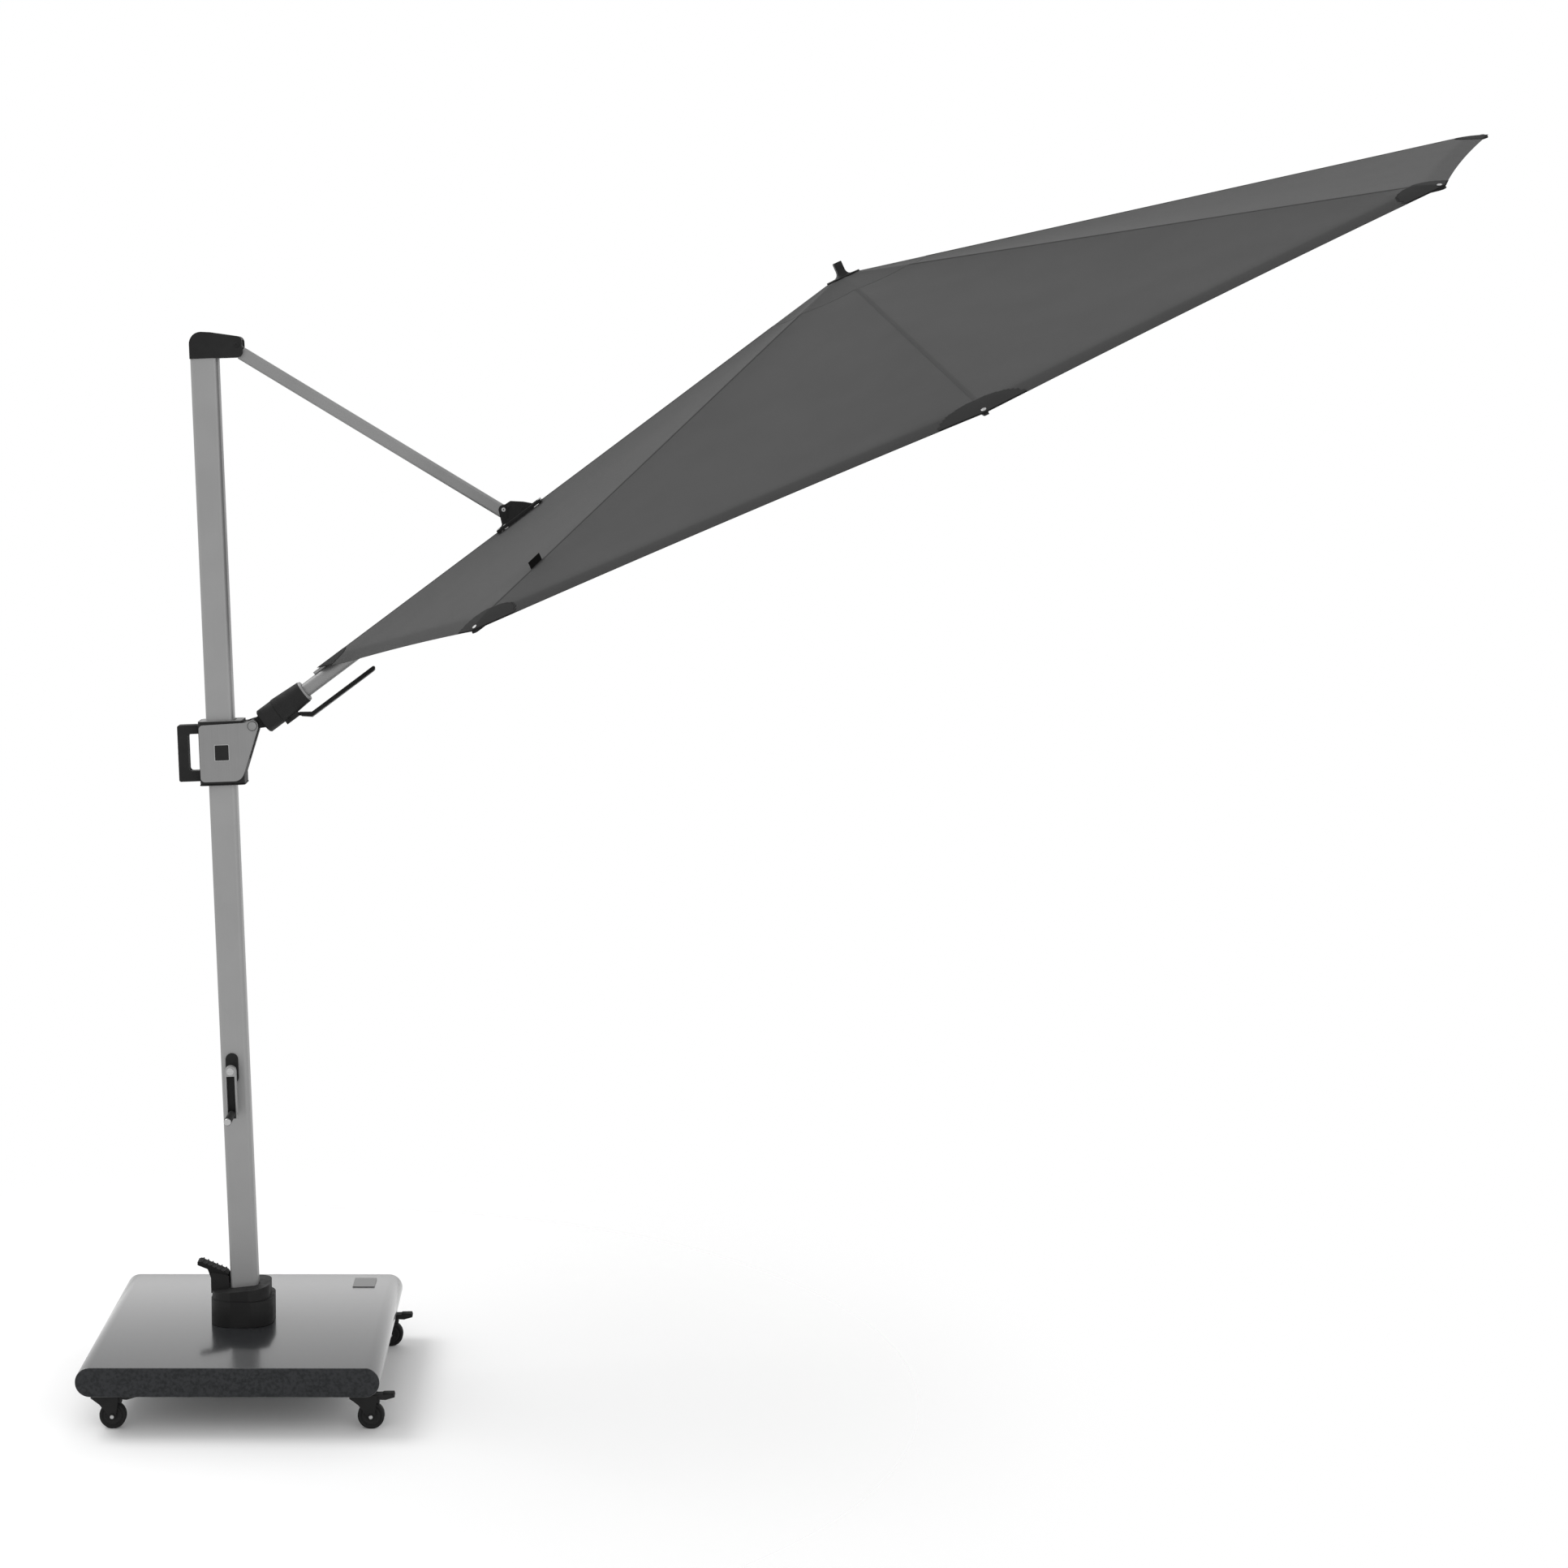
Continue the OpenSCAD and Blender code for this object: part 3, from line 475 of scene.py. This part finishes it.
def cloth_point(azimuth, s, q, lift=0.0):
    """Point of the canopy in the hub's frame, s along the ridges and q from one panel's
    middle line (-1) over the ridge (0) to the next panel's middle line (1)."""
    side = 1 if q >= 0 else -1
    t = abs(q) / 2
    here, there = ridge_direction(azimuth), ridge_direction(azimuth + 45 * side)
    bow = 4 * t * (1 - t)
    reach = s - SCALLOP * bow * (s / RIB_LENGTH) ** 3
    point = reach * ((1 - t) * here + t * there)
    normal = here.cross(there) * side
    normal.normalize()
    full = math.sin(math.pi * min(max((s - GORE_FROM) / (RIB_LENGTH - GORE_FROM), 0), 1)) ** 0.7
    edge = max(0.0, (s - BEND_FROM) / DROOP_FROM)
    bend = min(1, abs(q) / BOOM_STIFF) if azimuth == BOOM_AZIMUTH else 1
    return point + normal * (lift - SAG * bow * full - DROOP * bend * edge ** 2)


def cloth_sheet(azimuth, s_values, q_values, lift, keep=None):
    """Grid of the canopy's surface with its own UV map in metres, only where keep(s, q) holds
    at a face's middle. The crease along the ridge is kept sharp."""
    bm = bmesh.new()
    uv = bm.loops.layers.uv.new("cloth")
    grid = {}
    for i, s in enumerate(s_values):
        for j, q in enumerate(q_values):
            grid[i, j] = bm.verts.new(cloth_point(azimuth, s, q, lift) * MM)
    across = math.sin(HALF_PANEL)
    for i in range(len(s_values) - 1):
        for j in range(len(q_values) - 1):
            corners = [(i, j), (i + 1, j), (i + 1, j + 1), (i, j + 1)]
            middle_s = (s_values[i] + s_values[i + 1]) / 2
            middle_q = (q_values[j] + q_values[j + 1]) / 2
            if keep is not None and not keep(middle_s, middle_q):
                continue
            face = bm.faces.new([grid[c] for c in corners])
            for loop, (a, b) in zip(face.loops, corners):
                loop[uv].uv = (s_values[a] * q_values[b] * across * MM, s_values[a] * MM)
    loose = [v for v in bm.verts if not v.link_faces]
    bmesh.ops.delete(bm, geom=loose, context="VERTS")
    ridge = math.radians(azimuth)
    for edge in bm.edges:
        on_ridge = all(abs(v.co.y * math.cos(ridge) - v.co.x * math.sin(ridge)) < 1e-6
                       for v in edge.verts)
        if on_ridge and len(edge.link_faces) == 2:
            edge.smooth = False
    return bm


def thicken(piece, thickness):
    """Gives a sheet its thickness, with the ridge's crease and the rims kept crisp."""
    solid = piece.modifiers.new("thickness", "SOLIDIFY")
    solid.thickness = thickness * MM
    solid.offset = -1
    solid.use_even_offset = True
    evaluated = piece.evaluated_get(bpy.context.evaluated_depsgraph_get())
    mesh = bpy.data.meshes.new_from_object(evaluated)
    piece.modifiers.clear()
    piece.data = mesh
    mesh.polygons.foreach_set("use_smooth", [True] * len(mesh.polygons))
    bm = bmesh.new()
    bm.from_mesh(mesh)
    for edge in bm.edges:
        if len(edge.link_faces) == 2 and edge.calc_face_angle(0) > math.radians(CREASE):
            edge.smooth = False
    bm.to_mesh(mesh)
    bm.free()


def body_at(azimuth):
    """Body that carries the ridge."""
    return RIB_OF.get(azimuth, "boom")


def follow_fold(piece, azimuth):
    """Rides on the body that carries the ridge, with a mesh of its own."""
    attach(piece, body_at(azimuth))
    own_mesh(piece)


def steps(start, end, count):
    return [start + (end - start) * k / count for k in range(count + 1)]


S_GRID = steps(GORE_FROM, BEND_FROM, 60) + steps(BEND_FROM, RIB_LENGTH, 10)[1:]
Q_GRID = steps(-1, 1, 24)
STRIP = 46                  # half width of the fixed strip over the boom
HOLE_ENDS = (-15, 107)      # of the bracket's opening in the strip, along the boom
HOLE_HALF = 39              # half width of that opening
STRIP_END = APEX_U - 70     # the strip stays clear of the hub that tips below it


def cut_at(bm, axis, values):
    """Cuts a mesh along planes at values (mm) of the axis x or y of the boom's frame."""
    normal = Vector((0, 0, 0))
    normal["xyz".index(axis)] = 1
    for value in values:
        bmesh.ops.bisect_plane(bm, geom=bm.verts[:] + bm.edges[:] + bm.faces[:], dist=1e-7,
                               plane_co=ROLL @ (normal * value * MM),
                               plane_no=ROLL.to_3x3() @ normal)


def drop_faces(bm, test):
    """Deletes the faces whose centre, in millimetres of the boom's frame, passes the test."""
    back = ROLL.inverted()
    doomed = [f for f in bm.faces if test(back @ f.calc_center_median() / MM)]
    bmesh.ops.delete(bm, geom=doomed, context="FACES")


def along_hole(c):
    return HOLE_ENDS[0] < c.x < HOLE_ENDS[1]


def boom_gore(bm):
    """Cuts the gore over the boom into its fixed strip and two sides; gives each part's mesh and
    its side's offset in mm beside the boom's line, None for the strip."""
    cut_at(bm, "y", (-STRIP, STRIP))
    sides = {}
    for side, tag in ((1, "left"), (-1, "right")):
        half = bm.copy()
        drop_faces(half, lambda c: side * c.y < STRIP)
        sides["gore_180_" + tag] = (half, side * STRIP)
    drop_faces(bm, lambda c: abs(c.y) > STRIP)
    cut_at(bm, "y", (-HOLE_HALF, HOLE_HALF))
    cut_at(bm, "x", (*HOLE_ENDS, STRIP_END))
    drop_faces(bm, lambda c: c.x > STRIP_END or abs(c.y) < HOLE_HALF and along_hole(c))
    return {"gore_180_strip": (bm, None), **sides}


for azimuth in AZIMUTHS:
    bm = cloth_sheet(azimuth, S_GRID, Q_GRID, 0)
    bm.transform(HUB)
    parts = boom_gore(bm) if azimuth == BOOM_AZIMUTH else {"gore_%03d" % azimuth: (bm, 0)}
    for name, (part, offset) in parts.items():
        piece = make_object(name, part, CLOTH)
        thicken(piece, 1.1)
        if offset is None:
            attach(piece, "boom")
        else:
            follow_fold(piece, azimuth)
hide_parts("canopy")


def patch_piece(name, azimuth, s_values, q_values, lift, material, keep=None,
                thickness=0.8):
    """Second layer of cloth, lifted off the gore at a ridge."""
    bm = cloth_sheet(azimuth, s_values, q_values, lift, keep)
    bm.transform(HUB)
    piece = make_object(name, bm, material)
    thicken(piece, thickness)
    follow_fold(piece, azimuth)


def seam_sheet(azimuth):
    """Narrow tape along a ridge, raised a little at its middle."""
    bm = bmesh.new()
    uv = bm.loops.layers.uv.new("cloth")
    places = steps(PATCH_END + 1, RIB_LENGTH - POCKET_DEEP, 50)
    rows = [[bm.verts.new(cloth_point(azimuth, s, 2 * w / (s * PANEL_CHORD),
                                      0.6 if w else 0.8) * MM) for w in (-5.5, -2.5, 0, 2.5, 5.5)]
            for s in places]
    for i, (low, high) in enumerate(zip(rows, rows[1:])):
        for j in range(4):
            face = bm.faces.new([low[j], high[j], high[j + 1], low[j + 1]])
            corners = ((i, j), (i + 1, j), (i + 1, j + 1), (i, j + 1))
            for loop, (a, b) in zip(face.loops, corners):
                loop[uv].uv = (b * TAPE_STEP, places[a] * MM)
    bm.transform(HUB)
    if azimuth == BOOM_AZIMUTH:
        cut_at(bm, "x", HOLE_ENDS)
        drop_faces(bm, along_hole)
    return bm


def ridge_place(azimuth, pitch, point):
    """Frame at a point of the hub's frame, its X outwards along the ridge and down by pitch."""
    place = HUB.to_3x3().to_4x4() @ turn("Z", azimuth) @ turn("Y", pitch)
    place.translation = HUB @ (point * MM)
    return place


PATCH_END = 228         # the top patches reach this far down the ridges
POCKET_HALF, POCKET_DEEP, POCKET_PAST = 0.17, 84, 2
TAPE_WIDTH, TAPE_STEP = 0.011, 0.003
PANEL_CHORD = 0.7482    # width of a panel for each unit along its ridges
RIVET_AT, RIVET_PITCH = RIB_LENGTH - 14, RIB_SLOPE + 9.3
RIVET = [[0, 1.0], [6, 1.0], [5.8, 2.0], [4.6, 2.7], [2, 2.7], [1.4, 1.7], [0, 1.7]]
# a rib's end plug: place along the rib, width, underside and top
PLUG = [(-70, 15, -21.5, -6), (-62, 15, -21.5, -4.5), (-40, 14, -20, -5), (-14, 12, -18, -8),
        (-3, 11, -16.5, -10.5), (-1, 9, -15.5, -11.5)]
PLUG_RINGS = [[(x, -w / 2, z0), (x, w / 2, z0), (x, w / 2, z1 - 1), (x, w / 2 - 1.5, z1),
               (x, 1.5 - w / 2, z1), (x, -w / 2, z1 - 1)] for x, w, z0, z1 in PLUG]


def in_pocket(s, q):
    arch = (1 - (q / POCKET_HALF) ** 2) ** 0.7
    return RIB_LENGTH + POCKET_PAST - s < POCKET_DEEP * arch + 4


for azimuth in AZIMUTHS:
    patch_piece("top_patch_%03d" % azimuth, azimuth, steps(GORE_FROM, PATCH_END, 8),
                steps(-1, 1, 12), 0.4, PATCH_CLOTH, thickness=0.35)
    patch_piece("tip_pocket_%03d" % azimuth, azimuth,
                steps(RIB_LENGTH - POCKET_DEEP, RIB_LENGTH + POCKET_PAST, 24),
                steps(-POCKET_HALF, POCKET_HALF, 24), 1.2, POCKET_CLOTH,
                keep=in_pocket)
    seam = make_object("seam_%03d" % azimuth, seam_sheet(azimuth), SHADED_SEAM_CLOTH)
    thicken(seam, 0.5)
    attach(seam, body_at(azimuth))
    if azimuth == BOOM_AZIMUTH:
        continue
    add("tip_rivet_%03d" % azimuth, lathe(RIVET, 24), ZINC, body_at(azimuth),
        ridge_place(azimuth, RIVET_PITCH, cloth_point(azimuth, RIVET_AT, 0)))
    add("tip_plug_%03d" % azimuth, loft(PLUG_RINGS), BLACK, body_at(azimuth),
        ridge_place(azimuth, RIB_SLOPE, ridge_direction(azimuth) * RIB_LENGTH), 40)

# cap with its post
PLATE_Z = -9.9      # its plate's underside, where the cloth passes under the plate's rim
# width, depth, corner radius and height of the sections of the plate and the post
POST = [(91, 91, 45.4, 0), (94, 94, 46.9, 1), (94, 94, 46.9, 3.4), (92, 92, 45.9, 4.4),
        (60, 70, 20, 4.8), (42, 56, 12, 5.6), (33, 50, 7, 8), (27, 47, 5, 11.5),
        (23.5, 46, 4, 16), (22, 45, 3, 21), (22, 45, 3, 42.3), (21, 44, 2.5, 43.9),
        (19, 42, 2, 44.7)]
cap = add("cap_with_post", loft([rounded_ring(*section, steps=10) for section in POST]), BLACK,
          "hub", HUB @ shift(0, 0, PLATE_Z), 40)
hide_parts("finial")

# label sewn into a ridge's seam near the rear tip, standing up from it
LABEL_ENDS, LABEL_RISE, LABEL_AZIMUTH = (1452, 1497), 17, 225
label = bmesh.new()
label.loops.layers.uv.new("cloth")
label_rows = [[label.verts.new((cloth_point(LABEL_AZIMUTH, s, 0, 0.8) + Vector((0, 0, rise))) * MM)
               for rise in steps(0, LABEL_RISE, 3)] for s in steps(*LABEL_ENDS, 5)]
for low, high in zip(label_rows, label_rows[1:]):
    for j in range(3):
        label.faces.new([low[j], high[j], high[j + 1], low[j + 1]])
label.transform(HUB)
label_piece = make_object("blank_label", label, LABEL)
thicken(label_piece, 0.9)
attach(label_piece, "rib_5")

# ---- bracket, rim and strut ----
# the four bars of the gasket round the opening: ends along the boom and across it
GASKET_BARS = [(-27, 119, -53.5, -40), (-27, 119, 40, 53.5), (-27, -16, -41, 41),
               (108, 119, -41, 41)]
for index, (u0, u1, y0, y1) in enumerate(GASKET_BARS, 1):
    add("rim_gasket_%d" % index, pillow(u1 - u0, y1 - y0, 2.6, 1.5, 1), GASKET, "boom",
        ROLL @ shift((u0 + u1) / 2, (y0 + y1) / 2, APEX_W - 2.2))
STRUT_BOLT_U, STRUT_BOLT_Y, STRUT_BOLT_W = STRUT_LENGTH - 29.9, 19, 34
STRUT_BOLT = [[0, 0], [5.6, 0], [5.6, 0.4], [5.2, 0.65], [0, 0.65]]
STRUT_SOCKET = [[0, 0.5], [1.9, 0.5], [1.9, 0.75], [0, 0.75]]
CHEEK_SCREW = [[0, 0], [4.2, 0], [4.2, 1.4], [3.4, 2.2], [1.6, 2.2], [1.4, 1.0], [0, 1.0]]
CHEEK_SCREWS_AT = ((66, 42), (38, 66))      # along the boom and square to it
for side, facing, tag in SIDES:
    bolt_place = STRUT @ shift(STRUT_BOLT_U, side * STRUT_BOLT_Y, STRUT_BOLT_W) @ facing
    add("strut_bolt_" + tag, lathe(STRUT_BOLT), ZINC, "strut", bolt_place)
    add("strut_bolt_socket_" + tag, lathe(STRUT_SOCKET, 24), GASKET, "strut",
        bolt_place)
    for u, w in CHEEK_SCREWS_AT:
        add("cheek_screw_%s_%d" % (tag, u), lathe(CHEEK_SCREW, 24), COATED, "arm",
            BOOM @ shift(u, side * 24, w) @ facing)

# ---- slab ----
SLAB_W, SLAB_D, SLAB_T, ARRIS = 788, 844, 77, 2.0


def slab_ring(y, inset):
    """Outline of the slab at y: flat faces with a half-round nose at both ends of X."""
    radius = SLAB_T / 2 - inset
    points = []
    for side, start in ((1, -90), (-1, 90)):
        for a in map(math.radians, steps(start, start + 180, 32)):
            points.append((side * (SLAB_W / 2 - SLAB_T / 2) + radius * math.cos(a), y,
                           SLAB_TOP - SLAB_T / 2 + radius * math.sin(a)))
    return points


slab_rings = []
for end, order in ((-1, range(4)), (1, range(3, -1, -1))):
    for k in order:
        a = math.radians(30 * k)
        slab_rings.append(slab_ring(end * (SLAB_D / 2 - ARRIS * (1 - math.cos(a))),
                                    ARRIS * (1 - math.sin(a))))
slab = add("slab_body", loft(slab_rings), POLISHED, "base", None)
slab.data.materials.append(HONED)
for face in slab.data.polygons:
    if abs(face.normal.y) > 0.8:
        face.material_index = 1
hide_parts("granite_slab")

# ---- collars and lever ----
COLLAR_RING = [[19.3, -1], [29.4, -1], [29.4, 0], [28.6, 5.2], [27, 6], [19.3, 6]]
add("collar_ring", tube_ring(COLLAR_RING), SILVER_BOOM, "boom",
    ROLL @ shift(SPLIT_U + 87, 0, 0) @ turn("Y", 90))
# course of the lever's underside, from the joint of the collars and below the boom
LEVER_PATH = [(44, -48.6), (66, -67.4), (270, -67.4), (276, -66.6)]
LEVER_SECTION = [(-11, -1.2), (11, -1.2), (12, 0), (11.4, 1.4), (-11.4, 1.4), (-12, 0)]
add("lever_underside", loft([[(SPLIT_U + u, y, w + rise) for y, rise in LEVER_SECTION]
                             for u, w in LEVER_PATH]), GUIDE, "boom", ROLL, 40)
COLLAR_SCREW = [[0, 0], [4, 0], [4, 1.2], [3.4, 2], [1.6, 2], [1.4, 0.8], [0, 0.8]]
add("collar_screw", lathe(COLLAR_SCREW, 32), COATED, "boom",
    ROLL @ shift(SPLIT_U + 14, -14, -36) @ FACE_FRONT)

# ---- slider ----
BADGE = MAST @ shift(5.5, -47, 1554.5) @ FACE_FRONT
add("blank_badge", pillow(37, 41, 2.2, 2, 1), BLACK, "slider", BADGE)
add("badge_frame", pillow(40, 44, 0.9, 3, 0.5), ZINC, "slider", BADGE)
PIVOT_RING = [[11.2, -0.5], [12.6, -0.5], [12.6, 0.9], [11.2, 0.9]]
PIVOT_CAP = [[0, 0], [11.4, 0], [11.4, 1.4], [10.6, 2.2], [8.5, 2.8], [0, 3.1]]
for side, facing, tag in SIDES:
    pivot = MAST @ shift(HINGE_B, side * 49, SLIDER_A) @ facing
    add("pivot_ring_" + tag, tube_ring(PIVOT_RING), GASKET, "slider", pivot)
    add("pivot_cap_" + tag, lathe(PIVOT_CAP, 64), SILVER_PLATE, "slider",
        pivot)

GROOVE = [(1.6, 26, 0.7, -0.2), (1.6, 26, 0.7, 0.7), (0.9, 25, 0.4, 1.1)]
GROOVE_FROM, GROOVE_STEP = 1520, 16
for k in range(5):
    add("handle_groove_%d" % (k + 1), loft([rounded_ring(*section) for section in GROOVE]),
        SOFT_BLACK, "slider",
        MAST @ shift(-116, 0, GROOVE_FROM + k * GROOVE_STEP) @ turn("Y", -90))

for tag, material, height, width, depth in (("top", GUIDE, 1637, 116, 84),
                                            ("bottom", BLACK, 1467.4, 122, 90)):
    sections = [(78, 60, 14, -1), (width, depth, 10, -1), (width, depth, 10, 1.2),
                (width - 3, depth - 3, 9, 2.4), (80, 62, 14, 2.4), (78, 60, 14, 1.2)]
    add("slider_lip_" + tag, loft([rounded_ring(*section) for section in sections], endless=True),
        material, "slider", MAST @ shift(3, 0, height), 40)

# ---- crank ----
BUTTON = [[0, 0], [10, 0], [10, 0.5], [9.4, 1], [0, 1.2]]
add("crank_button", lathe(BUTTON, 40), ZINC, "crank",
    CRANK @ shift(0, -75, 0) @ FACE_FRONT)
GRIP_HINGE_Y, GRIP_LENGTH, GRIP_Z = -71.5, 96, -114
GRIP_CAP = [[0, 0], [9.4, 0], [9.4, 1.6], [8.2, 3], [0, 3.4]]
add("grip_end_cap", lathe(GRIP_CAP, 40), ZINC, "grip",
    CRANK @ shift(0, GRIP_HINGE_Y - GRIP_LENGTH, GRIP_Z) @ FACE_FRONT)

# ---- mast's cap ----
HEAD_BOLT = [[0, 0], [7, 0], [7, 1.2], [6, 2.2], [3, 2.4], [2.6, 1.0], [0, 1.0]]
for side, facing, tag in SIDES:
    add("head_bolt_" + tag, lathe(HEAD_BOLT, 32), BLACK, "mast",
        MAST @ shift(HINGE_B, side * 31, HEAD_A) @ facing)

# ---- castors ----
CASTOR_X, CASTOR_Y, TRAIL, WHEEL_R = 337, 345, 29, 35
CASTOR_SIDES = ((-1, -1), (1, -1), (-1, 1), (1, 1))
PAD_X, PAD_Z, LEVER_TILT = 46, 92.6, 1
AXLE_CAP = [[0, 0], [5.2, 0], [5.2, 1.4], [4.4, 2.4], [0, 2.8]]
WHEEL_DISC = [[5, 0], [23, 0], [24.5, -1.2], [23.5, 1.2], [20, 1.6], [18.5, 0.8], [10, 0.8],
              [8.5, 2.0], [5, 2.0]]
PAD = [(30, 27, 3, 0), (30, 27, 3, 1.6), (28, 25, 3, 2.2)]
for index, (sx, sy) in enumerate(CASTOR_SIDES, 1):
    wheel_x, wheel_y = sx * CASTOR_X + TRAIL, sy * CASTOR_Y
    wheel_place = shift(wheel_x, wheel_y, WHEEL_R)
    for side, facing, tag in SIDES:
        add("axle_cap_%d_%s" % (index, tag), lathe(AXLE_CAP, 28), ZINC, "castor_%d" % index,
            wheel_place @ shift(0, side * 20.5, 0) @ facing)
        add("wheel_disc_%d_%s" % (index, tag), tube_ring(WHEEL_DISC, 48), BLACK,
            "wheel_%d" % index, wheel_place @ shift(0, side * 9, 0) @ facing)
    add("brake_pad_%d" % index, loft([rounded_ring(*section) for section in PAD]), SOFT_BLACK,
        "brake_%d" % index,
        shift(wheel_x + PAD_X, wheel_y, PAD_Z) @ turn("Y", -LEVER_TILT))

# ---- floor, light and camera ----
SPAN = 12
FADE_FROM, FADE_TO = 0.7, 2.4       # metres from the origin between which the floor clears
floor_mesh = bpy.data.meshes.new("floor")
floor_mesh.from_pydata([(-SPAN, -SPAN, 0), (SPAN, -SPAN, 0), (SPAN, SPAN, 0), (-SPAN, SPAN, 0)],
                       [], [(0, 1, 2, 3)])
floor = bpy.data.objects.new("floor", floor_mesh)
floor_material, floor_nodes, floor_links, floor_shader = new_material("pale_floor")
floor_shader.inputs["Base Color"].default_value = (0.9, 0.9, 0.9, 1)
floor_shader.inputs["Roughness"].default_value = 0.9
coords = floor_nodes.new("ShaderNodeTexCoord")
distance = floor_nodes.new("ShaderNodeVectorMath")
distance.operation = "LENGTH"
fade = floor_nodes.new("ShaderNodeMapRange")
fade.interpolation_type = "SMOOTHSTEP"
fade.inputs["From Min"].default_value = FADE_FROM
fade.inputs["From Max"].default_value = FADE_TO
clear = floor_nodes.new("ShaderNodeBsdfTransparent")
blend = floor_nodes.new("ShaderNodeMixShader")
floor_links.new(coords.outputs["Object"], distance.inputs[0])
floor_links.new(distance.outputs["Value"], fade.inputs["Value"])
floor_links.new(fade.outputs["Result"], blend.inputs["Fac"])
floor_links.new(floor_shader.outputs["BSDF"], blend.inputs[1])
floor_links.new(clear.outputs["BSDF"], blend.inputs[2])
floor_links.new(blend.outputs["Shader"],
                floor_nodes["Material Output"].inputs["Surface"])
floor_mesh.materials.append(floor_material)
bpy.context.scene.collection.objects.link(floor)

world = bpy.data.worlds.new("studio")
bpy.context.scene.world = world
world.use_nodes = True
world.node_tree.nodes["Background"].inputs["Color"].default_value = (1, 1, 1, 1)
world.node_tree.nodes["Background"].inputs["Strength"].default_value = 1.0


def softbox(name, place, target, size, power):
    light = bpy.data.lights.new(name, "AREA")
    light.shape = "DISK"
    light.size = size
    light.energy = power
    lamp = bpy.data.objects.new(name, light)
    bpy.context.scene.collection.objects.link(lamp)
    lamp.location = place
    lamp.rotation_euler = (Vector(target) - Vector(place)).to_track_quat("-Z", "Y").to_euler()


softbox("key", (-4.5, 1.0, 7.5), (0.8, 0, 1.8), 4, 260)
softbox("fill", (4.0, -6.0, 3.5), (0.8, 0, 1.4), 5, 60)

FOCAL_PIXELS, PICTURE_PIXELS, SENSOR = 3677.3, 1932, 36
CAMERA_DOWN, CAMERA_ROLL, CAMERA_TURN = 3.62, 0.04, 0.318       # degrees
camera_data = bpy.data.cameras.new("camera")
camera = bpy.data.objects.new("camera", camera_data)
bpy.context.scene.collection.objects.link(camera)
camera_data.sensor_width = SENSOR
camera_data.lens = SENSOR * FOCAL_PIXELS / PICTURE_PIXELS
camera_data.shift_x = 0.1193
camera_data.shift_y = -0.1169
camera.location = (0.999, -7.980, 2.646)
camera.rotation_euler = (math.radians(90 - CAMERA_DOWN), math.radians(CAMERA_ROLL),
                         math.radians(CAMERA_TURN))
camera_data.clip_end = 200
bpy.context.scene.camera = camera
bpy.context.scene.view_settings.view_transform = "Standard"
